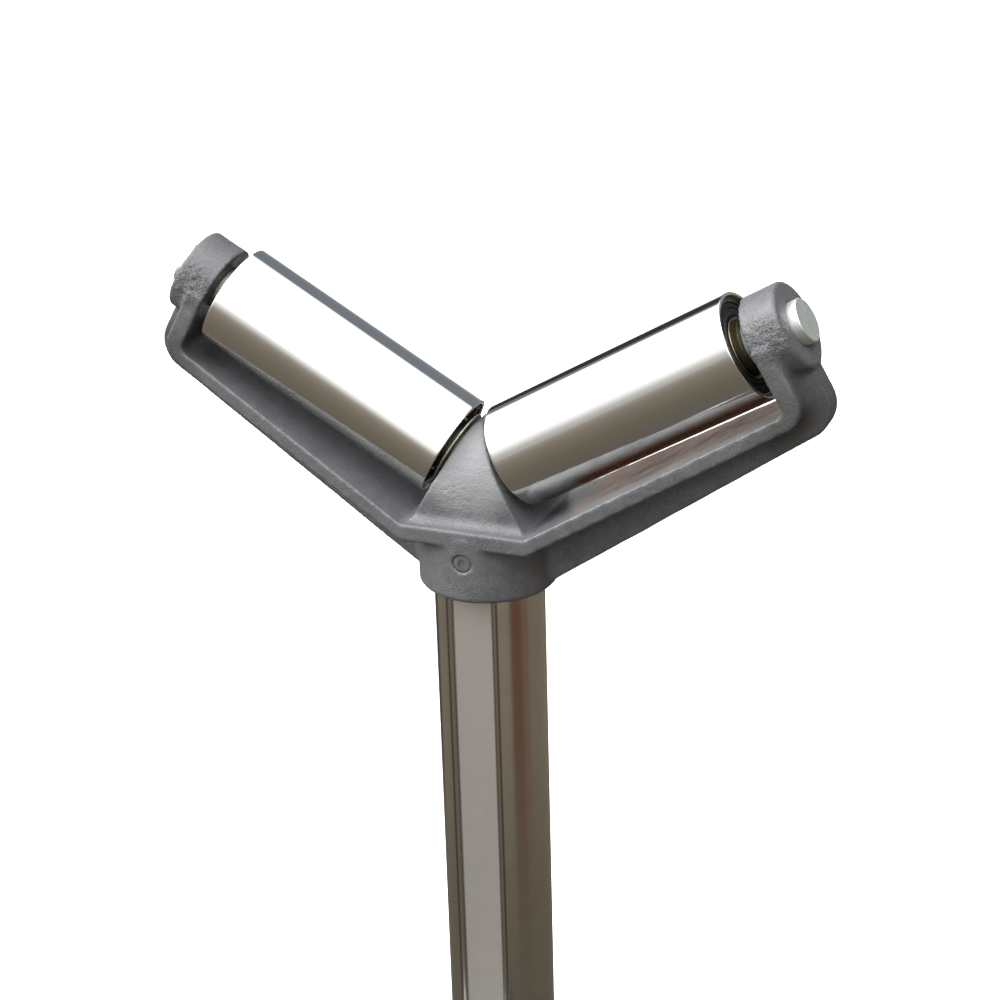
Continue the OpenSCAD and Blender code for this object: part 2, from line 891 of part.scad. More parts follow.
module base_casting() {
  color(cast_grey)
    difference() {
      union() {
        translate([0, 0, base_hub_low])
          cylinder(h = base_hub_top - base_hub_low, r = base_hub_r);
        at_legs()
          leg();
      }
      translate([0, 0, seat_z])
        cylinder(h = base_hub_top, r = column_r);
      translate([0, 0, base_hub_low - over])
        cylinder(h = seat_t + over * 2, d = seat_hole_d);
      column_screw_holes();
      at_legs() {
        translate([anchor_reach, 0, lug_low - over])
          cylinder(h = lug_t + over * 2, d = anchor_d);
        translate([foot_reach, 0, lug_low - over])
          cylinder(h = lug_t + over * 2, r = foot_screw_r);
      }
    }
}

module at_column_screws() {
  translate([0, 0, column_screw_z])
    for (i = [0 : leg_count - 1])
      rotate([0, 0, 360 * i / leg_count])
        children();
}

module column_screw_holes() {
  at_column_screws()
    bar_front(column_r - over, base_hub_r + over, column_screw_d / 2);
}

module column_screws() {
  color(zinc_look)
    at_column_screws()
      bar_front(column_r, column_r + column_screw_len, column_screw_d / 2);
}

module rubber_feet() {
  color(rubber_black)
    at_legs()
      translate([foot_reach, 0, 0])
        difference() {
          rotate_extrude()
            polygon([
              [0, 0], [foot_r - foot_edge, 0], [foot_r, foot_edge], [foot_r, foot_h], [0, foot_h]
            ]);
          translate([0, 0, -over])
            cylinder(h = foot_head_z + foot_head_t + over, r = foot_head_r + screw_play);
          cylinder(h = foot_h + over, r = foot_screw_r + screw_play);
        }
}

module foot_screws() {
  color(zinc_look)
    at_legs()
      translate([foot_reach, 0, foot_head_z]) {
        cylinder(h = foot_head_t, r = foot_head_r);
        cylinder(h = lug_top - foot_head_z, r = foot_screw_r);
      }
}

// Column, collar and upper guide

module column_tube() {
  color(cast_grey)
    difference() {
      translate([0, 0, seat_z])
        cylinder(h = column_top - seat_z, r = column_r);
      translate([0, 0, seat_z - over])
        cylinder(h = column_top, r = column_bore_r);
      translate([0, 0, clamp_z])
        bar_front(column_bore_r / 2, column_r + over, clamp_r + screw_play);
    }
}

module at_collar_screws() {
  translate([0, 0, collar_screw_z])
    for (turn = [180 - collar_screw_turn, 180 + collar_screw_turn])
      rotate([0, 0, turn])
        children();
}

module column_collar() {
  color(cast_grey)
    difference() {
      union() {
        translate([0, 0, collar_low])
          cylinder(h = collar_top - collar_low, r = collar_head_r);
        translate([0, 0, clamp_z])
          bar_front(column_r, front_boss_reach, front_boss_d / 2);
      }
      translate([0, 0, collar_low - over])
        cylinder(h = lip_low - collar_low + over, r = column_r);
      translate([0, 0, lip_low - over])
        cylinder(h = lip_t + over * 2, d = lip_bore);
      translate([0, 0, clamp_z])
        bar_front(column_r - over, front_boss_reach + over, clamp_r + thread_play);
      at_collar_screws()
        bar_front(column_r - over, collar_head_r + over, collar_screw_d / 2);
    }
}

module collar_screws() {
  color(zinc_look)
    at_collar_screws()
      bar_front(column_r, column_r + collar_screw_len, collar_screw_d / 2);
}

module upper_guide_bush() {
  key_half = groove_w / 2 - key_play;
  color(bush_look)
    difference() {
      union() {
        translate([0, 0, column_top - upper_bush_len])
          difference() {
            cylinder(h = upper_bush_len, r = column_bore_r);
            translate([0, 0, -over])
              cylinder(h = upper_bush_len + over * 2, r = post_r + guide_play);
          }
        translate([0, 0, column_top])
          difference() {
            cylinder(h = bush_flange_t, r = column_r);
            translate([0, 0, -over])
              cylinder(h = bush_flange_t + over * 2, r = post_r + guide_play);
          }
        // Key that keeps the post from turning
        translate([-key_half, -column_bore_r + column_wall / 2, column_top - upper_bush_len])
          cube([
            key_half * 2, column_bore_r - column_wall / 2 - groove_floor - key_play,
            upper_bush_len + bush_flange_t
          ]);
      }
      // Guide hole of the pad, with a wider way for the screw behind it
      translate([0, 0, clamp_z]) {
        bar_front(groove_floor - over, column_r, pad_hole_r);
        bar_front(pad_back, column_r, clamp_r + screw_play);
      }
    }
}

// Clamp

module clamp_pad() {
  color(brass_look)
    translate([0, 0, clamp_z])
      difference() {
        bar_front(pad_front, pad_back, pad_d / 2);
        bar_front(pad_back - pivot_len, pad_back + over, pivot_r + pivot_play);
      }
}

module clamp_screw() {
  color(zinc_look)
    translate([0, 0, clamp_z])
      difference() {
        union() {
          bar_front(pad_back - pivot_len + pad_gap, pad_back + pad_gap + over, pivot_r);
          bar_front(pad_back + pad_gap, clamp_head_in + over, clamp_r);
          bar_front(clamp_head_in, clamp_head_out, clamp_head_d / 2);
        }
        clamp_rod();
      }
}

// The clamp bar's rod, level with the clamp screw's axis
module clamp_rod() {
  translate([0, -bar_y, 0])
    bar_x(-bar_len / 2, bar_len / 2, bar_r);
}

module clamp_bar() {
  color(zinc_look)
    translate([0, 0, clamp_z])
      clamp_rod();
}

module clamp_balls() {
  color(ball_black)
    translate([0, 0, clamp_z])
      for (side = [-1, 1])
        difference() {
          translate([side * (bar_len / 2), -bar_y, 0])
            sphere(r = bar_ball_r);
          clamp_rod();
        }
}

yoke();
post();
head_grub_screws();
axle(-1);  // left_axle
axle(1);  // right_axle
axle_grub_screws();
outer_spacer(-1);  // left_outer_spacer
outer_spacer(1);  // right_outer_spacer
inner_spacer(-1);  // left_inner_spacer
inner_spacer(1);  // right_inner_spacer
centre_sleeve(-1);  // left_centre_sleeve
centre_sleeve(1);  // right_centre_sleeve
roller_tube(-1);  // left_roller_tube
roller_tube(1);  // right_roller_tube
inner_race(-1, true);  // left_outboard_inner_race
outer_race(-1, true);  // left_outboard_outer_race
balls(-1, true);  // left_outboard_balls
cage(-1, true);  // left_outboard_cage
seals(-1, true);  // left_outboard_seals
inner_race(-1, false);  // left_inboard_inner_race
outer_race(-1, false);  // left_inboard_outer_race
balls(-1, false);  // left_inboard_balls
cage(-1, false);  // left_inboard_cage
seals(-1, false);  // left_inboard_seals
inner_race(1, true);  // right_outboard_inner_race
outer_race(1, true);  // right_outboard_outer_race
balls(1, true);  // right_outboard_balls
cage(1, true);  // right_outboard_cage
seals(1, true);  // right_outboard_seals
inner_race(1, false);  // right_inboard_inner_race
outer_race(1, false);  // right_inboard_outer_race
balls(1, false);  // right_inboard_balls
cage(1, false);  // right_inboard_cage
seals(1, false);  // right_inboard_seals
lower_guide_bush();
bush_screws();
post_end_cap();
base_casting();
rubber_feet();
foot_screws();
column_tube();
column_screws();
column_collar();
collar_screws();
upper_guide_bush();
clamp_pad();
clamp_screw();
clamp_bar();
clamp_balls();
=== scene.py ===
"""The looks of a height-adjustable roller stand: two chromed rollers in a V on a cast head.

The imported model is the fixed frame. Each sub-assembly is a class that measures its nodes in that
frame, builds finished pieces in their place and dresses what stays.
"""

import json
import logging
import math
from dataclasses import dataclass
from enum import Enum
from typing import Any, Callable, Iterable, Optional, Sequence, Union

import bmesh
import bpy
import numpy as np
from mathutils import Matrix, Vector, noise


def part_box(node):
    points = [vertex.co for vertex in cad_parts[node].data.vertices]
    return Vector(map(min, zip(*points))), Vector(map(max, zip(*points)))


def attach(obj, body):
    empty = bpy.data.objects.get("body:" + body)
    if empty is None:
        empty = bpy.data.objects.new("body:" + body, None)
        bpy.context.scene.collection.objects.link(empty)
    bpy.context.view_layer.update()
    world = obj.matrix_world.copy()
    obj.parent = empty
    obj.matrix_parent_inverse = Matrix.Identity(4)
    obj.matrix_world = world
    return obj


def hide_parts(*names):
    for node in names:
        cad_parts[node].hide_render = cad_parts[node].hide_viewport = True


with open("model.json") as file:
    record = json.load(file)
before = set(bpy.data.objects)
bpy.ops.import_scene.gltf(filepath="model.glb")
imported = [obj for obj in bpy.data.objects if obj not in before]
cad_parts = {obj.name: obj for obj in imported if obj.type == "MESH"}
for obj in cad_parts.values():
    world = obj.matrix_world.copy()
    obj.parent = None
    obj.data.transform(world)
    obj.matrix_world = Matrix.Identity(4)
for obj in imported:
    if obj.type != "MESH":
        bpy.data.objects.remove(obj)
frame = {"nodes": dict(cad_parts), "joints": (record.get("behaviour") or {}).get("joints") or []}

LOG = logging.getLogger("roller_stand")
MM = 0.001
TOUCH = 0.01 * MM
WELD = 0.001 * MM
SHARP = math.radians(28)
FLAT = math.radians(50)
TURN = 2 * math.pi

Colour = tuple[float, float, float]
Outline = Sequence[tuple[float, float]]
Value = Union["Wire", float, int, Sequence[float]]


def tone(red: int, green: int, blue: int) -> Colour:
    """Turns a screen colour into the linear colour that a shader takes.

    Args:
        red: Red as a screen shows it, 0 to 255.
        green: Green, 0 to 255.
        blue: Blue, 0 to 255.

    Returns:
        The same colour in linear light.
    """

    def linear(level: int) -> float:
        """Gives one channel in linear light.

        Args:
            level: The channel as a screen shows it.

        Returns:
            The channel in linear light.
        """
        share = level / 255
        return share / 12.92 if share <= 0.04045 else ((share + 0.055) / 1.055) ** 2.4

    return linear(red), linear(green), linear(blue)


class Side(Enum):
    """The two rollers, with the sign of their side along X."""

    LEFT = -1
    RIGHT = 1

    @property
    def word(self) -> str:
        """The side's name, as the nodes spell it."""
        return self.name.lower()


class End(Enum):
    """The two bearings of a roller."""

    OUTBOARD = "outboard"
    INBOARD = "inboard"


class Wire:
    """An output of a shader node that takes part in sums."""

    def __init__(self, graph: "Graph", socket: bpy.types.NodeSocket) -> None:
        """Wraps a socket.

        Args:
            graph: The graph that the socket's node is in.
            socket: The output socket.
        """
        self.graph = graph
        self.socket = socket

    def _sum(self, operation: str, first: Value, second: Value) -> "Wire":
        """Adds one Math node.

        Args:
            operation: What it does.
            first: The first number.
            second: The second number.

        Returns:
            The result.
        """
        return self.graph.node("ShaderNodeMath", {"operation": operation}, {0: first, 1: second})

    def __add__(self, other: Value) -> "Wire":
        """This plus another.

        Args:
            other: The other value.

        Returns:
            The result.
        """
        return self._sum("ADD", self, other)

    def __radd__(self, other: Value) -> "Wire":
        """Another plus this.

        Args:
            other: The other value.

        Returns:
            The result.
        """
        return self._sum("ADD", other, self)

    def __sub__(self, other: Value) -> "Wire":
        """This less another.

        Args:
            other: The other value.

        Returns:
            The result.
        """
        return self._sum("SUBTRACT", self, other)

    def __rsub__(self, other: Value) -> "Wire":
        """Another less this.

        Args:
            other: The other value.

        Returns:
            The result.
        """
        return self._sum("SUBTRACT", other, self)

    def __mul__(self, other: Value) -> "Wire":
        """This times another.

        Args:
            other: The other value.

        Returns:
            The result.
        """
        return self._sum("MULTIPLY", self, other)

    def __rmul__(self, other: Value) -> "Wire":
        """Another times this.

        Args:
            other: The other value.

        Returns:
            The result.
        """
        return self._sum("MULTIPLY", other, self)

    def __truediv__(self, other: Value) -> "Wire":
        """This over another.

        Args:
            other: The other value.

        Returns:
            The result.
        """
        return self._sum("DIVIDE", self, other)

    def __pow__(self, other: Value) -> "Wire":
        """This to a power.

        Args:
            other: The power.

        Returns:
            The result.
        """
        return self._sum("POWER", self, other)

    def larger(self, other: Value) -> "Wire":
        """The larger of the two.

        Args:
            other: The other value.

        Returns:
            The larger value.
        """
        return self._sum("MAXIMUM", self, other)

    def step(self, low: float, high: float) -> "Wire":
        """Rises softly from 0 to 1.

        Args:
            low: Where it starts to rise.
            high: Where it reaches 1. It may be below low, and the rise is then a fall.

        Returns:
            The risen value.
        """
        if low > high:
            return 1 - self.step(high, low)
        settings = {"interpolation_type": "SMOOTHSTEP"}
        return self.graph.node("ShaderNodeMapRange", settings, {0: self, 1: low, 2: high, 3: 0.0, 4: 1.0})


class Graph:
    """A node tree that shader expressions are written into."""

    def __init__(self, tree: bpy.types.NodeTree) -> None:
        """Starts with an empty tree.

        Args:
            tree: The tree of a material or a world.
        """
        self.tree = tree
        tree.nodes.clear()

    def node(
        self,
        kind: str,
        settings: Optional[dict[str, Any]] = None,
        inputs: Optional[dict[Union[int, str], Value]] = None,
        output: Union[int, str] = 0,
    ) -> Wire:
        """Adds a node of any type.

        Args:
            kind: The node's type.
            settings: Its properties, with "stops" for a ramp's places and colours.
            inputs: Values or wires for its sockets, by name or number.
            output: The output that is wanted.

        Returns:
            That output.
        """
        made = self.tree.nodes.new(kind)
        for name, value in (settings or {}).items():
            if name == "stops":
                self._stops(made.color_ramp, value)
            else:
                setattr(made, name, value)
        for key, value in (inputs or {}).items():
            socket = made.inputs[key]
            if isinstance(value, Wire):
                self.tree.links.new(value.socket, socket)
            elif isinstance(value, (tuple, list)) and socket.type == "RGBA":
                socket.default_value = (*value[:3], 1.0)
            else:
                socket.default_value = value
        return Wire(self, made.outputs[output])

    @staticmethod
    def _stops(ramp: bpy.types.ColorRamp, stops: Sequence[tuple[float, Colour]]) -> None:
        """Gives a ramp its stops.

        Args:
            ramp: The ramp.
            stops: Places and colours.
        """
        while len(ramp.elements) < len(stops):
            ramp.elements.new(1.0)
        for element, (place, colour) in zip(ramp.elements, stops):
            element.position = place
            element.color = (*colour, 1.0)

    def place(self) -> Wire:
        """The place on the piece, in metres."""
        return self.node("ShaderNodeTexCoord", output="Object")

    def vector(self, operation: str, *inputs: Value, output: str = "Vector") -> Wire:
        """Adds one Vector Math node.

        Args:
            operation: What it does.
            inputs: Its vectors.
            output: The output that is wanted, "Value" for a number.

        Returns:
            That output.
        """
        return self.node("ShaderNodeVectorMath", {"operation": operation}, dict(enumerate(inputs)), output)

    def parts(self, place: Wire) -> list[Wire]:
        """Gives the X, Y and Z of a place or a direction.

        Args:
            place: The place.

        Returns:
            Its three parts.
        """
        made = self.node("ShaderNodeSeparateXYZ", {}, {0: place}).socket.node
        return [Wire(self, socket) for socket in made.outputs]

    def stretched(self, scale: Sequence[float]) -> Wire:
        """Gives the place on the piece, stretched.

        Args:
            scale: The stretch along each axis.

        Returns:
            The changed place.
        """
        inputs = {"Vector": self.place(), "Scale": tuple(scale)}
        return self.node("ShaderNodeMapping", {"vector_type": "POINT"}, inputs)

    def grain(
        self, size: float, detail: float = 2.0, where: Optional[Wire] = None, rough: float = 0.5
    ) -> Wire:
        """Gives soft noise between 0 and 1.

        Args:
            size: The size of its lumps in metres, or in units of where.
            detail: How many finer layers lie on it.
            where: The place to read, if it isn't the plain one.
            rough: How strong the finer layers are.

        Returns:
            The noise.
        """
        inputs: dict[Union[int, str], Value] = {
            "Vector": where or self.place(),
            "Scale": 1 / size,
            "Detail": detail,
            "Roughness": rough,
        }
        return self.node("ShaderNodeTexNoise", {}, inputs, "Fac")

    def pits(self, size: float) -> Wire:
        """Gives the distance to the nearest of scattered points, 0 to about 1.

        Args:
            size: The mean distance between the points, in metres.

        Returns:
            The distance as a share of the size.
        """
        return self.node("ShaderNodeTexVoronoi", {}, {"Vector": self.place(), "Scale": 1 / size}, "Distance")

    def near(self, point: Sequence[float], radius: float) -> Wire:
        """Gives 1 at a point and 0 beyond a radius round it.

        Args:
            point: The point, in metres.
            radius: The radius, in metres.

        Returns:
            The mask.
        """
        away = self.vector("DISTANCE", self.place(), tuple(point), output="Value")
        return away.step(radius, radius * 0.45)

    def blend(self, share: Value, first: Value, second: Value) -> Wire:
        """Mixes two colours.

        Args:
            share: How much of the second.
            first: The first colour.
            second: The second colour.

        Returns:
            The mixed colour.
        """
        return self.node("ShaderNodeMix", {"data_type": "RGBA"}, {0: share, 6: first, 7: second}, 2)

    def relief(self, height: Wire, depth: float) -> Wire:
        """Turns a height into a bumped normal.

        Args:
            height: The height, 0 to 1.
            depth: What a height of 1 measures, in metres.

        Returns:
            The normal.
        """
        return self.node("ShaderNodeBump", {}, {"Height": height, "Distance": depth, "Strength": 1.0})

    def surface(self, inputs: dict[Union[int, str], Value]) -> None:
        """Ends a material with a Principled shader.

        Args:
            inputs: Values or wires for the shader's sockets.
        """
        self.end("ShaderNodeOutputMaterial", self.node("ShaderNodeBsdfPrincipled", {}, inputs))

    def end(self, kind: str, shader: Wire) -> None:
        """Joins a shader to the tree's output.

        Args:
            kind: The type of the output node.
            shader: What it shows.
        """
        made = self.tree.nodes.new(kind)
        self.tree.links.new(shader.socket, made.inputs["Surface"])


def painted(name: str, write: Callable[[Graph], None]) -> bpy.types.Material:
    """Makes a material from a function that writes its graph.

    Args:
        name: The material's name.
        write: Writes the nodes.

    Returns:
        The material.
    """
    made = bpy.data.materials.new(name)
    made.use_nodes = True
    write(Graph(made.node_tree))
    return made


@dataclass(frozen=True)
class Patch:
    """A round area where the cast skin is rougher."""

    point: tuple[float, float, float]
    radius: float
    strength: float = 1.0


@dataclass(frozen=True)
class Tint:
    """A round area of painted light or shade: a lighter or darker colour laid over the paint."""

    point: tuple[float, float, float]
    radius: float
    colour: Colour
    strength: float = 1.0


@dataclass(frozen=True)
class Streak:
    """A reddish-brown streak along a tray's top, with a darker ragged line, placed by the roller's axis."""

    point: tuple[float, float, float]
    along: tuple[float, float, float]
    length: tuple[float, float]
    below: tuple[float, float]
    haze: Colour = tone(118, 88, 70)
    rust: Colour = tone(124, 80, 54)
    deep: Colour = tone(80, 52, 36)
    haze_reach: tuple[float, float] = (-20 * MM, -9 * MM)
    rust_reach: tuple[float, float] = (-9 * MM, -3 * MM)
    deep_start: tuple[float, float] = (-5 * MM, -1 * MM)
    deep_end: tuple[float, float] = (7 * MM, 2 * MM)
    ragged: float = 9 * MM
    tear_size: float = 5 * MM
    soft: float = 3.0 * MM
    sheen: float = 0.8

    def stretch(self, graph: Graph) -> Value:
        """Gives 1 on the streak's stretch of the tray and 0 elsewhere.

        Args:
            graph: The paint's graph.

        Returns:
            The mask.
        """
        start, along = Vector(self.point), Vector(self.along)
        down = Vector((0, 1, 0)).cross(along) * math.copysign(1, along.x)
        share: Value = 1.0
        for way, (low, high) in ((along, self.length), (down, self.below)):
            place = graph.vector("DOT_PRODUCT", graph.place(), tuple(way), output="Value") - start.dot(way)
            share = place.step(low - self.soft, low) * place.step(high + self.soft, high) * share
        return share

    def over(self, graph: Graph, paint: Wire) -> tuple[Wire, Wire]:
        """Lays the streak over a colour.

        Args:
            graph: The paint's graph.
            paint: The colour under it.

        Returns:
            The colour with the streak, and how far the metal shows in it.
        """
        share = self.stretch(graph)
        broken = graph.grain(self.tear_size, 4.0, rough=0.65)
        torn = graph.parts(graph.place())[1] + (broken - 0.5) * self.ragged
        haze = share * torn.step(*self.haze_reach)
        colour = graph.blend(haze * 0.9, paint, self.haze)
        # A reddish-brown band over the haze, nearer the tray's front.
        colour = graph.blend(share * torn.step(*self.rust_reach), colour, self.rust)
        line = torn.step(*self.deep_start) * torn.step(*self.deep_end) * broken.step(0.34, 0.56)
        return graph.blend(share * line, colour, self.deep), haze * self.sheen


@dataclass(frozen=True)
class CastPaint:
    """Half gloss grey paint over the pebbly skin of a sand casting, with painted shade in the skin's hollows
    and pits and a painted highlight on its crests.
    """

    slot: str = "cast_paint"
    light: Colour = tone(92, 93, 95)
    dark: Colour = tone(82, 83, 86)
    dust: Colour = tone(112, 111, 109)
    hollow: Colour = tone(60, 61, 64)
    pebble: float = 0.85 * MM
    depth: float = 0.5 * MM
    broad_size: float = 26 * MM
    mid_size: float = 7 * MM
    grit_size: float = 0.45 * MM
    pit_spacing: float = 1.7 * MM
    pit_reach: float = 0.24
    plain_roughness: float = 0.5
    gloss: float = 0.34
    patches: tuple[Patch, ...] = ()
    tints: tuple[Tint, ...] = ()
    streaks: tuple[Streak, ...] = ()

    def write(self, graph: Graph) -> None:
        """Writes the paint's nodes.

        Args:
            graph: The paint's graph.
        """
        broad = graph.grain(self.broad_size, 3.0)
        mid = graph.grain(self.mid_size, 4.0, rough=0.6)
        fine = graph.grain(self.pebble, 2.0)
        grit = graph.grain(self.grit_size, 1.0)
        rough = broad.step(0.46, 0.62) * self.plain_roughness
        for patch in self.patches:
            rough = rough.larger(graph.near(patch.point, patch.radius) * patch.strength)
        pits = graph.pits(self.pit_spacing).step(0.0, self.pit_reach)
        height = fine * (0.4 + rough * 0.6) + pits * (rough * 0.35) + mid * 0.25 + grit * 0.1
        colour = graph.blend(mid.step(0.3, 0.7), self.dark, self.light)
        # Painted shade: the hollows and pit centres of the pebbly skin are darkened, more in the rough
        # places.
        colour = graph.blend(fine.step(0.5, 0.32) * (0.3 + rough * 0.5), colour, self.hollow)
        colour = graph.blend((1 - pits) * rough * 0.7, colour, self.hollow)
        # Painted highlight: the crests of the pebbly skin are lightened.
        colour = graph.blend(fine.step(0.56, 0.72) * (0.3 + rough * 0.3), colour, self.dust)
        # Painted light and shade: round spots made lighter or darker where the light falls unevenly on the
        # head.
        for painted_spot in self.tints:
            colour = graph.blend(graph.near(painted_spot.point, painted_spot.radius) * painted_spot.strength, colour, painted_spot.colour)
        metal: Value = 0.0
        for streak in self.streaks:
            colour, metal = streak.over(graph, colour)
        graph.surface({
            "Base Color": colour,
            "Metallic": metal,
            "Roughness": self.gloss + mid * 0.14 + rough * 0.06,
            "Normal": graph.relief(height, self.depth),
        })


@dataclass(frozen=True)
class TubePaint:
    """The same grey paint on a smooth drawn tube."""

    slot: str = "column_paint"
    light: Colour = tone(96, 98, 102)
    dark: Colour = tone(86, 88, 92)
    cloud_size: float = 40 * MM
    peel_size: float = 2.2 * MM
    runs: tuple[float, float, float] = (160, 160, 9)
    gloss: float = 0.3
    depth: float = 0.06 * MM

    def write(self, graph: Graph) -> None:
        """Writes the paint's nodes.

        Args:
            graph: The paint's graph.
        """
        broad = graph.grain(self.cloud_size, 3.0)
        peel = graph.grain(self.peel_size, 1.5)
        runs = graph.grain(1.0, 3.0, graph.stretched(self.runs))
        colour = graph.blend(broad * 0.6 + runs * 0.4, self.dark, self.light)
        graph.surface({
            "Base Color": colour,
            "Roughness": self.gloss + broad * 0.12,
            "Normal": graph.relief(peel * 0.6 + runs * 0.4, self.depth),
        })


@dataclass(frozen=True)
class Metal:
    """A bare or plated metal: its colour, gloss, blemishes and the direction of its tool marks."""

    slot: str
    base: Colour
    other: Colour
    gloss: float
    spread: float = 0.08
    blotch: float = 14 * MM
    marks: tuple[float, float, float] = (400, 400, 400)
    marks_depth: float = 0.01 * MM
    grain_depth: float = 0.0
    grain_size: float = 0.6 * MM

    def write(self, graph: Graph) -> None:
        """Writes the metal's nodes.

        Args:
            graph: The metal's graph.
        """
        blot = graph.grain(self.blotch, 4.0, rough=0.6)
        marks = graph.grain(1.0, 3.0, graph.stretched(self.marks), 0.6)
        height, depth = marks, self.marks_depth
        if self.grain_depth:
            depth = self.grain_depth
            height = marks * (self.marks_depth / depth) + graph.grain(self.grain_size, 2.0)
        graph.surface({
            "Base Color": graph.blend(blot.step(0.35, 0.68), self.base, self.other),
            "Metallic": 1.0,
            "Roughness": self.gloss + (blot - 0.5) * self.spread + (marks - 0.5) * self.spread,
            "Normal": graph.relief(height, depth),
        })


@dataclass(frozen=True)
class Compound:
    """A rubber or a plastic."""

    slot: str
    base: Colour
    other: Colour
    gloss: float
    skin: float = 0.8 * MM
    depth: float = 0.03 * MM
    coat: float = 0.0
    cloud_size: float = 9 * MM
    spread: float = 0.12

    def write(self, graph: Graph) -> None:
        """Writes the compound's nodes.

        Args:
            graph: The compound's graph.
        """
        cloud = graph.grain(self.cloud_size, 4.0, rough=0.6)
        skin = graph.grain(self.skin, 2.0)
        graph.surface({
            "Base Color": graph.blend(cloud.step(0.35, 0.7), self.base, self.other),
            "Roughness": self.gloss + (cloud - 0.5) * self.spread,
            "Coat Weight": self.coat,
            "Normal": graph.relief(skin, self.depth),
        })


@dataclass(frozen=True)
class DrawnSteel:
    """Bright drawn steel, brushed round the post, with a duller groove floor, painted shade along the
    groove's floor corners and a painted dark reflection along its lips.
    """

    floor_half: float
    mouth_half: float
    slot: str = "post_steel"
    grime: Colour = (0.13, 0.115, 0.09)
    base: Colour = (0.575, 0.555, 0.53)
    other: Colour = (0.51, 0.49, 0.465)
    gloss: float = 0.17
    floor_gloss: float = 0.42
    marks: tuple[float, float, float] = (90, 90, 2400)
    depth: float = 0.006 * MM
    line_rise: float = 0.7 * MM
    line_fall: float = 0.8 * MM
    line_half: float = 0.2 * MM
    cloud_size: float = 16 * MM
    speck_size: float = 0.7 * MM
    anisotropy: float = 0.6
    brush_turn: float = 0.25

    def write(self, graph: Graph) -> None:
        """Writes the steel's nodes.

        Args:
            graph: The steel's graph.
        """
        x, y, _ = graph.parts(graph.place())
        front = y.step(0.0, -self.floor_half)
        inside = (self.floor_half * 1.03) ** 2
        floor = (x * x).step(inside, inside * 0.94) * front
        cloud = graph.grain(self.cloud_size, 4.0, rough=0.6)
        marks = graph.grain(1.0, 3.0, graph.stretched(self.marks), 0.65)
        speck = graph.grain(self.speck_size, 2.0)
        colour = graph.blend(cloud.step(0.35, 0.7) * 0.6 + marks * 0.4, self.base, self.other)
        aside = (x * x) ** 0.5
        # Painted shade along the floor's corners and a painted dark reflection along the lips, as thin dark
        # lines on the groove's front.
        for half in (self.floor_half, self.mouth_half):
            rise = aside.step(half - self.line_rise, half - self.line_half)
            line = rise * aside.step(half + self.line_fall, half + self.line_half)
            colour = graph.blend(line * front * 0.75, colour, self.grime)
        gloss = self.gloss + floor * (self.floor_gloss - self.gloss)
        graph.surface({
            "Base Color": colour,
            "Metallic": 1.0,
            "Roughness": gloss + (cloud - 0.5) * 0.06 + (marks - 0.5) * 0.08,
            "Anisotropic": self.anisotropy,
            "Anisotropic Rotation": self.brush_turn,
            "Normal": graph.relief(marks + speck * 0.5, self.depth),
        })


Finish = Union[CastPaint, TubePaint, Metal, Compound, DrawnSteel]


class Finishes:
    """Every material of the stand, each made once."""

    def __init__(self) -> None:
        """Starts with none made."""
        self._made: dict[Finish, bpy.types.Material] = {}

    def of(self, finish: Finish) -> bpy.types.Material:
        """Gives the material of a finish.

        Args:
            finish: The finish.

        Returns:
            Its material.
        """
        if finish not in self._made:
            name = f"{finish.slot}_{len(self._made):02d}"
            self._made[finish] = painted(name, finish.write)
        return self._made[finish]


FINISHES = Finishes()
TUBE_PAINT = TubePaint()
CHROME = Metal(
    "roller_chrome", (0.78, 0.775, 0.76), (0.755, 0.75, 0.735), 0.075, 0.03, 30 * MM,
    marks_depth=0.004 * MM,
)
ZINC = Metal("zinc", tone(205, 208, 205), tone(176, 180, 178), 0.33, 0.14, 5 * MM, grain_depth=0.03 * MM)
PIN_ZINC = Metal("zinc", tone(240, 243, 238), tone(222, 226, 222), 0.5, 0.1, 5 * MM, grain_depth=0.02 * MM)
YELLOW_ZINC = Metal(
    "yellow_zinc", tone(176, 182, 168), tone(156, 160, 146), 0.55, 0.12, 5 * MM, marks_depth=0.002 * MM,
    grain_depth=0.008 * MM,
)
OLIVE_ZINC = Metal(
    "yellow_zinc", tone(104, 99, 78), tone(84, 80, 60), 0.42, 0.1, 5 * MM, marks_depth=0.002 * MM,
)
RACE_STEEL = Metal(
    "race_steel", tone(104, 98, 90), tone(84, 78, 70), 0.24, 0.06, 6 * MM, marks_depth=0.002 * MM
)
INNER_RACE = Metal(
    "race_steel", tone(138, 126, 98), tone(108, 96, 70), 0.26, 0.06, 5 * MM, marks_depth=0.002 * MM
)
BALL_STEEL = Metal("ball_steel", tone(226, 226, 226), tone(206, 208, 210), 0.06, 0.02, 3 * MM)
BRASS = Metal("cage_brass", tone(205, 168, 96), tone(178, 138, 70), 0.28, 0.1, 5 * MM)
PAD_BRASS = Metal("pad_brass", tone(205, 168, 96), tone(178, 138, 70), 0.28, 0.1, 5 * MM)
SEAL = Compound("seal_rubber", tone(12, 12, 12), tone(19, 18, 17), 0.7, depth=0.008 * MM)
BUSH = Compound("bush_plastic", tone(214, 208, 190), tone(200, 192, 170), 0.4)
CAP = Compound("cap_plastic", tone(30, 30, 31), tone(44, 44, 46), 0.5)
FOOT_RUBBER = Compound("foot_rubber", tone(34, 34, 35), tone(50, 49, 48), 0.62, 0.7 * MM, 0.12 * MM)
PHENOLIC = Compound("ball_plastic", tone(16, 16, 17), tone(24, 24, 25), 0.14, coat=0.4)


@dataclass(frozen=True)
class Span:
    """What a solid measures along an axis and away from it."""

    low: float
    high: float
    inner: float
    outer: float

    @property
    def middle(self) -> float:
        """Halfway along."""
        return (self.low + self.high) / 2

    @property
    def length(self) -> float:
        """The length along the axis."""
        return self.high - self.low


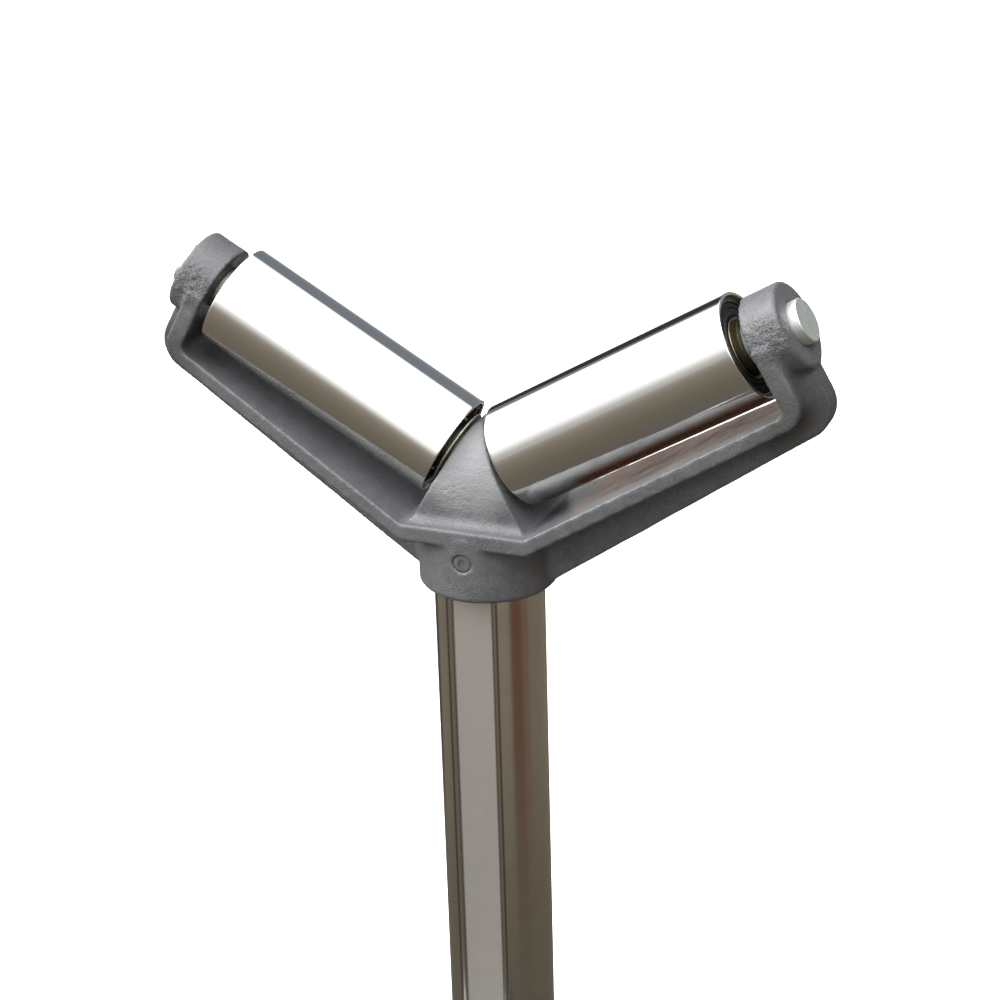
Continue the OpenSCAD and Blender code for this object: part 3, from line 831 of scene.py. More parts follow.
@dataclass(frozen=True)
class Axis:
    """A line in the frame that round pieces lie on."""

    point: Vector
    along: Vector

    @classmethod
    def of_joint(cls, name: str) -> "Axis":
        """Gives a hinge's axis.

        Args:
            name: The joint's name.

        Returns:
            The axis.
        """
        joint = next(j for j in frame["joints"] if j["name"] == name)
        return cls(Vector(joint["pos_m"]), Vector(joint["axis"]).normalized())

    def matrix(self) -> Matrix:
        """Takes the world's Z axis and origin to this axis and its point."""
        turn = Vector((0, 0, 1)).rotation_difference(self.along)
        return Matrix.Translation(self.point) @ turn.to_matrix().to_4x4()

    def span(self, points: Iterable[Vector]) -> Span:
        """Measures points along the axis and away from it.

        Args:
            points: The points.

        Returns:
            What they span.
        """
        along, away = [], []
        for point in points:
            offset = point - self.point
            place = offset.dot(self.along)
            along.append(place)
            away.append((offset - self.along * place).length)
        return Span(min(along), max(along), min(away), max(away))


UPRIGHT = Axis(Vector((0, 0, 0)), Vector((0, 0, 1)))


def points_of(node: str) -> list[Vector]:
    """Lists the corners of a CAD node's mesh.

    Args:
        node: The node's name.

    Returns:
        The corners.
    """
    return [v.co.copy() for v in frame["nodes"][node].data.vertices]


def islands(node: str) -> list[list[Vector]]:
    """Parts a CAD node's mesh into its separate solids.

    Args:
        node: The node's name.

    Returns:
        The corners of each solid, lowest X first.
    """
    shell = bmesh.new()
    shell.from_mesh(frame["nodes"][node].data)
    bmesh.ops.remove_doubles(shell, verts=shell.verts, dist=WELD)
    left = set(shell.verts)
    found = []
    while left:
        reached, edge = [], [left.pop()]
        while edge:
            vert = edge.pop()
            reached.append(vert.co.copy())
            for link in vert.link_edges:
                other = link.other_vert(vert)
                if other in left:
                    left.discard(other)
                    edge.append(other)
        found.append(reached)
    shell.free()
    return sorted(found, key=lambda points: sum(p.x for p in points) / len(points))


def middle_of(points: Sequence[Vector]) -> Vector:
    """Gives the middle of the box round some points.

    Args:
        points: The points.

    Returns:
        The middle.
    """
    low = Vector(tuple(min(p[i] for p in points) for i in range(3)))
    high = Vector(tuple(max(p[i] for p in points) for i in range(3)))
    return (low + high) / 2


def sharp_edges(shell: bmesh.types.BMesh, angle: float = SHARP) -> list[bmesh.types.BMEdge]:
    """Lists the edges whose two faces meet at more than an angle.

    Args:
        shell: The mesh.
        angle: The angle, in radians.

    Returns:
        The edges.
    """
    return [e for e in shell.edges if len(e.link_faces) == 2 and e.calc_face_angle(0.0) > angle]


def soften(shell: bmesh.types.BMesh, size: float, segments: int = 2) -> None:
    """Bevels every sharp edge.

    Args:
        shell: The mesh.
        size: The width of the bevel.
        segments: Its segments.
    """
    bmesh.ops.bevel(
        shell, geom=sharp_edges(shell), offset=size, offset_type="OFFSET", affect="EDGES",
        segments=segments, profile=0.5, material=-1, clamp_overlap=True,
    )


def turned(outline: Outline, segments: int = 128, edge: float = 0.3 * MM) -> bmesh.types.BMesh:
    """Turns a closed outline about the Z axis, as on a lathe, and breaks its edges.

    Args:
        outline: Corners as (height, radius). A radius of 0 lies on the axis.
        segments: The steps of a full turn.
        edge: The width of the broken edges, or 0 for none.

    Returns:
        The closed mesh.
    """
    shell = bmesh.new()
    corners = [shell.verts.new((radius, 0, height)) for height, radius in outline]
    closed = all(radius > 0 for _, radius in outline)
    pairs = list(zip(corners, corners[1:])) + ([(corners[-1], corners[0])] if closed else [])
    edges = [shell.edges.new(pair) for pair in pairs]
    bmesh.ops.spin(
        shell, geom=[*corners, *edges], cent=(0, 0, 0), axis=(0, 0, 1), dvec=(0, 0, 0),
        angle=TURN, steps=segments, use_merge=True,
    )
    bmesh.ops.remove_doubles(shell, verts=shell.verts, dist=0.0001 * MM)
    bmesh.ops.recalc_face_normals(shell, faces=shell.faces)
    if edge:
        soften(shell, edge)
    return shell


def rod(low: float, high: float, radius: float, chamfer: float) -> list[tuple[float, float]]:
    """Gives the outline of a round bar with chamfered ends.

    Args:
        low: Where it starts.
        high: Where it ends.
        radius: Its radius.
        chamfer: The size of its chamfers.

    Returns:
        The corners as (height, radius).
    """
    return [
        (low, 0.0), (low, radius - chamfer), (low + chamfer, radius),
        (high - chamfer, radius), (high, radius - chamfer), (high, 0.0),
    ]


def band(span: "Span", inset: float) -> list[tuple[float, float]]:
    """Gives the outline of a ring, with two more corners that hold its shading flat.

    Args:
        span: What the ring measures.
        inset: How far the corners lie from its ends.

    Returns:
        The corners as (height, radius).
    """
    return [
        (span.low, span.inner), (span.low, span.outer), (span.low + inset, span.outer),
        (span.high - inset, span.outer), (span.high, span.outer), (span.high, span.inner),
    ]


def sleeve(low: float, high: float, inner: float, outer: float) -> list[tuple[float, float]]:
    """Gives the outline of a plain sleeve.

    Args:
        low: Where it starts.
        high: Where it ends.
        inner: The radius of its bore.
        outer: Its radius.

    Returns:
        The corners as (height, radius).
    """
    return [(low, inner), (low, outer), (high, outer), (high, inner)]


def piece(
    name: str,
    shell: bmesh.types.BMesh,
    finish: Finish,
    body: str,
    nodes: Sequence[str] = (),
    place: Optional[Matrix] = None,
    weighted: bool = True,
) -> bpy.types.Object:
    """Makes a finished piece of a mesh, rides it on its body and hides the CAD nodes that it stands for.

    Args:
        name: The piece's name.
        shell: Its mesh, which is used up.
        finish: Its finish.
        body: The body that it moves with.
        nodes: The CAD nodes that it stands for.
        place: Where the mesh goes in the frame.
        weighted: Whether large faces hold the shading flat.

    Returns:
        The piece.
    """
    if place is not None:
        shell.transform(place)
    mesh = bpy.data.meshes.new(name)
    shell.to_mesh(mesh)
    shell.free()
    mesh.shade_smooth()
    made = bpy.data.objects.new(name, mesh)
    bpy.context.scene.collection.objects.link(made)
    if weighted:
        mesh.set_sharp_from_angle(angle=FLAT)
        modifier = made.modifiers.new("flat_faces", "WEIGHTED_NORMAL")
        modifier.keep_sharp = True
    mesh.materials.append(FINISHES.of(finish))
    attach(made, body)
    if nodes:
        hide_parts(*nodes)
    LOG.info("%s: %d faces, rides on %s", name, len(mesh.polygons), body)
    return made


def dress(node: str, finish: Finish) -> None:
    """Gives a CAD node that stays its finish.

    Args:
        node: The node's name.
        finish: Its finish.
    """
    mesh = frame["nodes"][node].data
    mesh.materials.clear()
    mesh.materials.append(FINISHES.of(finish))
    LOG.info("%s: dressed", node)


def applied(mesh: bpy.types.Mesh, kind: str, settings: dict[str, Any]) -> bpy.types.Mesh:
    """Applies one modifier to a mesh.

    Args:
        mesh: The mesh, which is used up.
        kind: The modifier's type.
        settings: Its properties.

    Returns:
        The changed mesh.
    """
    holder = bpy.data.objects.new("holder", mesh)
    bpy.context.scene.collection.objects.link(holder)
    modifier = holder.modifiers.new("change", kind)
    for name, value in settings.items():
        setattr(modifier, name, value)
    bpy.context.view_layer.update()
    graph = bpy.context.evaluated_depsgraph_get()
    made = bpy.data.meshes.new_from_object(holder.evaluated_get(graph))
    bpy.data.objects.remove(holder)
    bpy.data.meshes.remove(mesh)
    return made


def joined(shells: Sequence[bmesh.types.BMesh]) -> bmesh.types.BMesh:
    """Joins meshes into one.

    Args:
        shells: The meshes, which are used up.

    Returns:
        One mesh that holds them all.
    """
    whole = bmesh.new()
    for shell in shells:
        carrier = bpy.data.meshes.new("carrier")
        shell.to_mesh(carrier)
        shell.free()
        whole.from_mesh(carrier)
        bpy.data.meshes.remove(carrier)
    return whole


@dataclass
class Casting:
    """A sand casting: its CAD solid with grown fillets, worn edges and a wavy skin."""

    node: str
    body: str
    finish: CastPaint
    voxel: float = 1.0 * MM
    fillet: float = 7 * MM
    edge: float = 1.0 * MM
    passes: int = 30
    edge_passes: int = 6
    wave: float = 0.16 * MM
    wave_size: float = 11 * MM
    bumps: float = 0.32 * MM
    bump_size: float = 2.2 * MM
    ends: float = 1.0
    end_fillet: float = 2.8 * MM
    most_triangles: int = 190_000

    def remeshed(self) -> bpy.types.Mesh:
        """Gives the solid's copy as an even mesh of small squares."""
        shell = bmesh.new()
        shell.from_mesh(frame["nodes"][self.node].data)
        bmesh.ops.remove_doubles(shell, verts=shell.verts, dist=WELD)
        mesh = bpy.data.meshes.new("casting")
        shell.to_mesh(mesh)
        shell.free()
        return applied(mesh, "REMESH", {"mode": "VOXEL", "voxel_size": self.voxel})

    def relax(self, skin: "Skin", sign: int, radius: float, passes: int) -> None:
        """Smooths where the surface bends more sharply than a radius.

        Args:
            skin: The casting's skin.
            sign: 1 for hollow corners, -1 for outer edges.
            radius: The radius that is wanted.
            passes: How often the corners are looked for again.
        """
        for _ in range(passes):
            outside = np.abs(skin.places[:, 0]) > self.ends
            radii = np.where(outside, min(radius, self.end_fillet), radius)
            limit = self.voxel ** 2 / (4 * radii)
            bend = np.einsum("ij,ij->i", skin.pull(), skin.normals())
            bent = sign * bend > limit
            if not bent.any():
                return
            skin.smooth(bent)

    def roughen(self, skin: "Skin") -> None:
        """Gives the skin its waves, and the rough patches their lumps.

        Args:
            skin: The casting's skin.
        """
        lift = skin.noise(self.wave_size) * self.wave
        for patch in self.finish.patches:
            away = skin.away(patch.point) / patch.radius
            share = patch.strength * np.clip(1 - away ** 3, 0, None)
            lift += share * self.bumps * skin.noise(self.bump_size)
        skin.places += skin.normals() * lift[:, None]

    def build(self) -> bpy.types.Object:
        """Builds and dresses the casting."""
        skin = Skin(self.remeshed())
        LOG.info("%s: %d points", self.node, len(skin.places))
        self.relax(skin, 1, self.fillet, self.passes)
        self.relax(skin, -1, self.edge, self.edge_passes)
        skin.smooth()
        self.roughen(skin)
        mesh = skin.finished()
        triangles = sum(len(face.vertices) - 2 for face in mesh.polygons)
        if triangles > self.most_triangles:
            mesh = applied(mesh, "DECIMATE", {"ratio": self.most_triangles / triangles})
        shell = bmesh.new()
        shell.from_mesh(mesh)
        bpy.data.meshes.remove(mesh)
        return piece(f"{self.node}_skin", shell, self.finish, self.body, [self.node], weighted=False)


class Skin:
    """The points of a fine mesh, moved all at once."""

    def __init__(self, mesh: bpy.types.Mesh) -> None:
        """Reads a mesh.

        Args:
            mesh: The mesh, which is used up.
        """
        self.mesh = mesh
        self.places = np.empty(len(mesh.vertices) * 3)
        mesh.vertices.foreach_get("co", self.places)
        self.places = self.places.reshape(-1, 3)
        edges = np.empty(len(mesh.edges) * 2, dtype=np.int64)
        mesh.edges.foreach_get("vertices", edges)
        self.heads, self.tails = np.concatenate([edges.reshape(-1, 2), edges.reshape(-1, 2)[:, ::-1]]).T
        self.counts = np.maximum(np.bincount(self.heads, minlength=len(self.places)), 1)

    def pull(self) -> np.ndarray:
        """Gives the way from each point to the middle of its neighbours."""
        sums = [np.bincount(self.heads, self.places[self.tails, i], len(self.places)) for i in range(3)]
        return np.stack(sums, axis=1) / self.counts[:, None] - self.places

    def smooth(self, chosen: Optional[np.ndarray] = None, times: int = 3) -> None:
        """Moves points halfway to the middle of their neighbours.

        Args:
            chosen: Which points, or None for all of them once.
            times: How often.
        """
        for _ in range(1 if chosen is None else times):
            step = self.pull() / 2
            self.places += step if chosen is None else step * chosen[:, None]

    def normals(self) -> np.ndarray:
        """Gives the outward direction at each point."""
        self.mesh.vertices.foreach_set("co", self.places.ravel())
        self.mesh.update()
        out = np.empty(len(self.places) * 3)
        self.mesh.vertex_normals.foreach_get("vector", out)
        return out.reshape(-1, 3)

    def away(self, point: Sequence[float]) -> np.ndarray:
        """Gives each point's distance from a place.

        Args:
            point: The place.

        Returns:
            The distances.
        """
        return np.linalg.norm(self.places - np.array(point), axis=1)

    def noise(self, size: float) -> np.ndarray:
        """Gives soft noise between -1 and 1 with lumps of a size.

        Args:
            size: The size of the lumps.

        Returns:
            The noise at each point.
        """
        return np.array([noise.noise(place) for place in (self.places / size).tolist()])

    def finished(self) -> bpy.types.Mesh:
        """Writes the places back and gives the mesh."""
        self.mesh.vertices.foreach_set("co", self.places.ravel())
        self.mesh.update()
        return self.mesh


@dataclass
class RollerSet:
    """One roller with its bearings, collars and axle."""

    side: Side
    rim: float = 0.35 * MM
    tube_inset: float = 1.2 * MM
    inset: float = 0.8 * MM
    collar_edge: float = 0.25 * MM
    axle_chamfer: float = 0.4 * MM
    axle_edge: float = 0.12 * MM
    recess: float = 1.9 * MM
    recess_depth: float = 1.5 * MM
    seal_ring_shares: tuple[tuple[float, float], ...] = (
        (0.0, 0.35), (0.1, 1.0), (0.28, 1.0), (0.34, 0.35),
        (0.62, 0.35), (0.68, 0.85), (0.9, 0.85), (1.0, 0.5),
    )

    def __post_init__(self) -> None:
        """Finds the axis and the bodies."""
        self.axis = Axis.of_joint(f"{self.side.word}_roller_spin")
        self.roller = f"{self.side.word}_roller"
        self.cages = f"{self.side.word}_cages"

    def node(self, part: str) -> str:
        """Gives a part's node on this side.

        Args:
            part: The part's name.

        Returns:
            The node's name.
        """
        return f"{self.side.word}_{part}"

    def tube(self) -> None:
        """Builds the roller tube with thin bright rims."""
        name = self.node("roller_tube")
        span = self.axis.span(points_of(name))
        inset = self.tube_inset
        outline = [*band(span, inset), (span.high - inset, span.inner), (span.low + inset, span.inner)]
        shell = turned(outline, 256, self.rim)
        piece(f"{name}_chromed", shell, CHROME, self.roller, [name], self.axis.matrix())

    def ring(self, part: str, finish: Finish, body: str, edge: float) -> None:
        """Builds a plain ring, such as a race or a collar.

        Args:
            part: The part's name.
            finish: Its finish.
            body: The body that it moves with.
            edge: The width of its broken edges.
        """
        name = self.node(part)
        span = self.axis.span(points_of(name))
        shell = turned(band(span, min(self.inset, span.length / 4)), 128, edge)
        piece(f"{name}_turned", shell, finish, body, [name], self.axis.matrix())

    def outer_race(self, end: End) -> None:
        """Builds an outer race whose two faces are recessed for the seals.

        Args:
            end: Which bearing.
        """
        name = self.node(f"{end.value}_outer_race")
        span = self.axis.span(points_of(name))
        land = span.inner + self.recess
        low, high = span.low + self.recess_depth, span.high - self.recess_depth
        outline = [
            (low, span.inner), (low, land), (span.low, land), (span.low, span.outer),
            (span.high, span.outer), (span.high, land), (high, land), (high, span.inner),
        ]
        shell = turned(outline, 128)
        piece(f"{name}_turned", shell, RACE_STEEL, self.roller, [name], self.axis.matrix())

    def stepped(self, part: str, outline: Outline, finish: Finish, word: str) -> None:
        """Builds one turned stretch of a stepped collar.

        Args:
            part: The collar.
            outline: The stretch's corners as (place along the axis, radius).
            finish: Its finish.
            word: What the stretch is called.
        """
        name = self.node(part)
        shell = turned(outline, 128, self.collar_edge)
        piece(f"{name}_{word}", shell, finish, "head", [name], self.axis.matrix())

    def collars(self) -> None:
        """Builds the outer collar with its shoulder, and the inner one with its shield washer."""
        for part, words in (("outer_spacer", ("shoulder", "neck")), ("inner_spacer", ("collar", "washer"))):
            points = points_of(self.node(part))
            whole = self.axis.span(points)
            wide = self.axis.span([p for p in points if self.axis.span([p]).outer > whole.outer - TOUCH])
            tip = self.axis.span([p for p in points if self.axis.span([p]).high > whole.high - TOUCH])
            if part == "outer_spacer":
                first = sleeve(whole.low, wide.high, whole.inner, whole.outer)
                second = sleeve(wide.high, whole.high, whole.inner, tip.outer)
            else:
                first = sleeve(whole.low, whole.high, whole.inner, tip.outer)
                second = sleeve(wide.low, wide.high, tip.outer, whole.outer)
            self.stepped(part, first, OLIVE_ZINC, words[0])
            self.stepped(part, second, YELLOW_ZINC, words[1])

    def seals(self, end: End) -> None:
        """Builds the two moulded seals of a bearing, ribbed on their outer faces.

        Args:
            end: Which bearing.
        """
        name = self.node(f"{end.value}_seals")
        middle = self.axis.span(points_of(name)).middle
        shells = []
        for points in islands(name):
            span = self.axis.span(points)
            outward = 1 if span.middle > middle else -1
            back = span.low if outward > 0 else span.high
            width = span.outer + self.recess - 2 * TOUCH - span.inner
            outline = [(back, span.inner)]
            for across, rise in self.seal_ring_shares:
                outline.append((back + outward * span.length * rise, span.inner + across * width))
            outline.append((back, span.inner + width))
            shells.append(turned(outline, 128, 0.0))
        piece(f"{name}_moulded", joined(shells), SEAL, self.roller, [name], self.axis.matrix())

    def axle(self) -> None:
        """Builds the axle with its broken outer end."""
        name = self.node("axle")
        span = self.axis.span(points_of(name))
        shell = turned(rod(span.low, span.high, span.outer, self.axle_chamfer), 128, self.axle_edge)
        piece(f"{name}_plated", shell, PIN_ZINC, "head", [name], self.axis.matrix())

    def build(self) -> None:
        """Builds and dresses the whole set."""
        self.tube()
        self.axle()
        self.collars()
        self.ring("centre_sleeve", ZINC, "head", 0.5 * MM)
        for end in End:
            self.ring(f"{end.value}_inner_race", INNER_RACE, "head", 0.45 * MM)
            self.outer_race(end)
            self.seals(end)
            dress(self.node(f"{end.value}_balls"), BALL_STEEL)
            dress(self.node(f"{end.value}_cage"), BRASS)


@dataclass
class Post:
    """The drawn steel post with a flat-floored groove down its front."""

    lip: float = 0.7 * MM
    corner: float = 1.2 * MM
    steps: int = 180

    def __post_init__(self) -> None:
        """Measures the post and its groove on the post's top face."""
        points = points_of("post")
        self.span = UPRIGHT.span(points)
        top = [p for p in points if p.z > self.span.high - TOUCH and p.y < 0]
        skin = [p for p in top if p.xy.length > self.span.outer - TOUCH]
        sunk = [p for p in top if self.span.inner + self.lip < p.xy.length < self.span.outer - self.lip]
        self.mouth_half = min(abs(p.x) for p in skin)
        self.floor_half = max(abs(p.x) for p in sunk) + self.corner
        self.floor = -min(p.y for p in sunk)

    def section(self, shell: bmesh.types.BMesh) -> list[bmesh.types.BMEdge]:
        """Draws the outer outline at the post's foot.

        Args:
            shell: The mesh to draw in.

        Returns:
            The outline's edges.
        """
        radius, low = self.span.outer, self.span.low
        half = math.asin(self.mouth_half / radius)
        start = shell.verts.new((self.mouth_half, -radius * math.cos(half), low))
        arc = bmesh.ops.spin(
            shell, geom=[start], cent=(0, 0, 0), axis=(0, 0, 1), angle=TURN - 2 * half, steps=self.steps
        )
        last = arc["geom_last"][0]
        corners = [shell.verts.new((x, -self.floor, low)) for x in (-self.floor_half, self.floor_half)]
        for pair in ((last, corners[0]), corners, (corners[1], start)):
            shell.edges.new(pair)
        return list(shell.edges)

    def build(self) -> None:
        """Builds and dresses the post."""
        shell = bmesh.new()
        outer = self.section(shell)
        bore = bmesh.ops.create_circle(
            shell, cap_ends=False, radius=self.span.inner, segments=96,
            matrix=Matrix.Translation((0, 0, self.span.low)),
        )
        inner = list({e for v in bore["verts"] for e in v.link_edges})
        tops = []
        for ring in (outer, inner):
            risen = bmesh.ops.extrude_edge_only(shell, edges=ring)["geom"]
            verts = {g for g in risen if isinstance(g, bmesh.types.BMVert)}
            bmesh.ops.translate(shell, verts=list(verts), vec=(0, 0, self.span.length))
            tops += [g for g in risen if isinstance(g, bmesh.types.BMEdge) and set(g.verts) <= verts]
        bmesh.ops.bridge_loops(shell, edges=outer + inner)
        bmesh.ops.bridge_loops(shell, edges=tops)
        bmesh.ops.recalc_face_normals(shell, faces=shell.faces)
        soften(shell, self.lip, 3)
        piece("post_drawn", shell, DrawnSteel(self.floor_half, self.mouth_half), "head", ["post"])


@dataclass
class SetScrews:
    """A group of set screws with hexagon sockets, each in its own hole."""

    node: str
    body: str
    finish: Finish
    outward: Callable[[Vector], Vector]
    socket_share: float = 0.5
    tip_share: float = 0.7
    edge_share: float = 0.15
    most_edge: float = 0.5 * MM
    depth_share: float = 0.7
    filled_share: float = 0.12
    painted_over: bool = False

    def screw(self, points: Sequence[Vector]) -> bmesh.types.BMesh:
        """Builds one screw.

        Args:
            points: The corners of its solid.

        Returns:
            Its mesh, in place.
        """
        middle = middle_of(points)
        axis = Axis(middle, self.outward(middle).normalized())
        span = axis.span(points)
        radius, edge = span.outer, min(self.most_edge, span.outer * self.edge_share)
        outline = [
            (span.low, 0.0), (span.low, radius * self.tip_share),
            (span.low + radius * (1 - self.tip_share), radius),
            (span.high - edge, radius), (span.high, radius - edge),
            (span.high, radius * self.socket_share * 1.2), (span.high, 0.0),
        ]
        shell = turned(outline, 48, 0.0)
        depth = radius * (self.filled_share if self.painted_over else self.depth_share)
        self.socket(shell, span.high, radius * self.socket_share, depth)
        shell.transform(axis.matrix())
        return shell

    def socket(self, shell: bmesh.types.BMesh, top: float, radius: float, depth: float) -> None:
        """Sinks a hexagon socket into the screw's face.

        Args:
            shell: The screw, upright.
            top: The height of its face.
            radius: The socket's radius over its corners.
            depth: Its depth.
        """
        caps = [
            f for f in shell.faces
            if all(abs(v.co.z - top) < WELD for v in f.verts)
            and any(v.co.xy.length < WELD for v in f.verts)
        ]
        face = bmesh.ops.dissolve_faces(shell, faces=caps)["region"][0]
        bmesh.ops.inset_individual(shell, faces=[face], thickness=radius * 0.1)
        for vert in face.verts:
            angle = math.atan2(vert.co.y, vert.co.x)
            flat = math.cos(math.pi / 6) / math.cos((angle % (math.pi / 3)) - math.pi / 6)
            vert.co.xy = vert.co.xy.normalized() * radius * flat
        walls = bmesh.ops.extrude_face_region(shell, geom=[face])["geom"]
        floor = [g for g in walls if isinstance(g, bmesh.types.BMVert)]
        bmesh.ops.delete(shell, geom=[face], context="FACES_ONLY")
        bmesh.ops.translate(shell, verts=floor, vec=(0, 0, -depth))

    def build(self) -> None:
        """Builds and dresses the group."""
        shells = [self.screw(points) for points in islands(self.node)]
        piece(f"{self.node}_socketed", joined(shells), self.finish, self.body, [self.node])


def from_post(point: Vector) -> Vector:
    """Points away from the post's middle line.

    Args:
        point: Where the screw is.

    Returns:
        The direction.
    """
    return Vector((point.x, point.y, 0))


def from_middle(point: Vector) -> Vector:
    """Points to the front or the back, away from the middle.

    Args:
        point: Where the screw is.

    Returns:
        The direction.
    """
    return Vector((0, point.y, 0))


def upwards(_: Vector) -> Vector:
    """Points up.

    Args:
        _: Where the screw is, which is not used.

    Returns:
        The direction.
    """
    return Vector((0, 0, 1))


@dataclass
class Clamp:
    """The height clamp: pad, threaded screw, bar and balls."""

    shank: float = 8.0 * MM
    pitch: float = 2.0 * MM
    thread_depth: float = 0.9 * MM
    thread_steps: int = 36
    thread_sunk: float = 0.2 * MM
    thread_start: float = 0.2 * MM
    thread_stop: float = 0.4 * MM
    foot_half_share: float = 0.48
    flank_half_share: float = 0.46
    crest_half_share: float = 0.08
    head_chamfer: float = 1.6 * MM
    tip_chamfer: float = 1.0 * MM
    bar_edge: float = 0.8 * MM
    ball_sunk: float = 0.4 * MM
    pad_chamfer: float = 1.0 * MM

    def __post_init__(self) -> None:
        """Finds the screw's axis."""
        self.axis = Axis.of_joint("clamp_turn")

    def thread(self, low: float, high: float, radius: float) -> bmesh.types.BMesh:
        """Winds a thread ridge round a core.

        Args:
            low: Where the thread starts along the axis.
            high: Where it ends.
            radius: The radius over its crest.

        Returns:
            The ridge.
        """
        shell = bmesh.new()
        steps = self.thread_steps
        turns = int((high - low) / self.pitch) - 1
        root = radius - self.thread_depth
        half = [
            (root - self.thread_sunk, self.foot_half_share),
            (root, self.flank_half_share),
            (radius, self.crest_half_share),
        ]
        corners = [(r, -share) for r, share in half] + half[::-1]
        verts = [shell.verts.new((r, 0, low + (share + 0.5) * self.pitch)) for r, share in corners]
        edges = [shell.edges.new((verts[i - 1], verts[i])) for i in range(len(verts))]
        bmesh.ops.spin(
            shell, geom=[*verts, *edges], cent=(0, 0, 0), axis=(0, 0, 1),
            dvec=(0, 0, self.pitch / steps), angle=TURN * turns, steps=steps * turns,
        )
        shell.verts.ensure_lookup_table()
        for rim in (shell.verts[:len(corners)], shell.verts[-len(corners):]):
            bmesh.ops.contextual_create(shell, geom=list(rim))
        bmesh.ops.recalc_face_normals(shell, faces=shell.faces)
        return shell

    def screw(self) -> None:
        """Builds the threaded screw with its chamfered head."""
        points = points_of("clamp_screw")
        span = self.axis.span(points)
        wide = [p for p in points if self.axis.span([p]).outer > self.shank * 1.4]
        head = self.axis.span(wide)
        chamfer, core = self.head_chamfer, self.shank - self.thread_depth
        outline = [
            (head.low, 0.0), (head.low, head.outer - chamfer), (head.low + chamfer, head.outer),
            (head.high - chamfer, head.outer), (head.high, head.outer - chamfer), (head.high, core),
            (span.high - self.tip_chamfer, core), (span.high, core - self.tip_chamfer), (span.high, 0.0),
        ]
        thread = self.thread(head.high + self.thread_start, span.high - self.thread_stop, self.shank)
        shells = [turned(outline, 96), thread]
        name = "clamp_screw"
        piece(f"{name}_threaded", joined(shells), ZINC, name, [name], self.axis.matrix())

    def bar(self) -> None:
        """Builds the bar."""
        points = points_of("clamp_bar")
        axis = Axis(middle_of(points), Vector((1, 0, 0)))
        span = axis.span(points)
        outline = [(span.low, 0.0), (span.low, span.outer), (span.high, span.outer), (span.high, 0.0)]
        shell = turned(outline, 64, self.bar_edge)
        piece("clamp_bar_turned", shell, ZINC, "clamp_screw", ["clamp_bar"], axis.matrix())

    def ball(self, points: Sequence[Vector]) -> bmesh.types.BMesh:
        """Builds one ball, cut flat on its inner side, where the bar goes in.

        Args:
            points: The corners of its solid.

        Returns:
            Its mesh, in place.
        """
        middle = middle_of(points)
        size = max(p.x for p in points) - min(p.x for p in points)
        tall = max(p.z for p in points) - min(p.z for p in points)
        shell = bmesh.new()
        bmesh.ops.create_uvsphere(shell, u_segments=64, v_segments=40, radius=tall / 2)
        bmesh.ops.rotate(shell, verts=shell.verts, matrix=Matrix.Rotation(math.pi / 2, 3, "Y"))
        outward = 1 if middle.x > 0 else -1
        shift = Vector((outward * (size - tall) / 2, 0, 0))
        bmesh.ops.translate(shell, verts=shell.verts, vec=middle + shift)
        cut = middle.x - outward * (size / 2 - self.ball_sunk)
        flat = bmesh.ops.bisect_plane(
            shell, geom=[*shell.verts, *shell.edges, *shell.faces],
            plane_co=(cut, 0, 0), plane_no=(-outward, 0, 0), clear_outer=True,
        )
        rim = [g for g in flat["geom_cut"] if isinstance(g, bmesh.types.BMEdge)]
        if rim:
            bmesh.ops.holes_fill(shell, edges=rim, sides=0)
        return shell

    def pad(self) -> None:
        """Builds the pad."""
        span = self.axis.span(points_of("clamp_pad"))
        shell = turned(rod(span.low, span.high, span.outer, self.pad_chamfer), 64, 0.2 * MM)
        piece("clamp_pad_turned", shell, PAD_BRASS, "clamp_pad", ["clamp_pad"], self.axis.matrix())

    def build(self) -> None:
        """Builds and dresses the clamp."""
        self.screw()
        self.bar()
        balls = joined([self.ball(points) for points in islands("clamp_balls")])
        piece("clamp_balls_moulded", balls, PHENOLIC, "clamp_screw", ["clamp_balls"])
        self.pad()


@dataclass
class Column:
    """The painted tube that the post slides in, and the bushes that guide it."""

    inset: float = 3 * MM
    edge: float = 0.8 * MM

    def build(self) -> None:
        """Builds and dresses the column."""
        outline = band(UPRIGHT.span(points_of("column_tube")), self.inset)
        piece("column_tube_painted", turned(outline, 192, self.edge), TUBE_PAINT, "base", ["column_tube"])
        for node, finish in (("upper_guide_bush", BUSH), ("lower_guide_bush", BUSH), ("post_end_cap", CAP)):
            dress(node, finish)


@dataclass
class Feet:
    """The four rubber feet with their ribbed edges."""

    grip_shares: tuple[tuple[float, float], ...] = (
        (0.0, 0.9), (0.06, 0.96), (0.2, 1.0), (0.3, 1.0), (0.34, 0.96), (0.4, 0.96), (0.44, 1.0), (0.54, 1.0),
        (0.58, 0.955), (0.64, 0.955), (0.68, 0.985), (0.9, 0.93), (1.0, 0.88),
    )

    def build(self) -> None:
        """Builds and dresses the feet."""
        shells = []
        for points in islands("rubber_feet"):
            middle = middle_of(points)
            axis = Axis(Vector((middle.x, middle.y, 0)), Vector((0, 0, 1)))
            span = axis.span(points)
            grip = [(span.low + span.length * rise, span.outer * reach) for rise, reach in self.grip_shares]
            shell = turned([(span.low, span.inner), *grip, (span.high, span.inner)], 96, 0.0)
            shell.transform(axis.matrix())
            shells.append(shell)
        piece("rubber_feet_moulded", joined(shells), FOOT_RUBBER, "base", ["rubber_feet"])


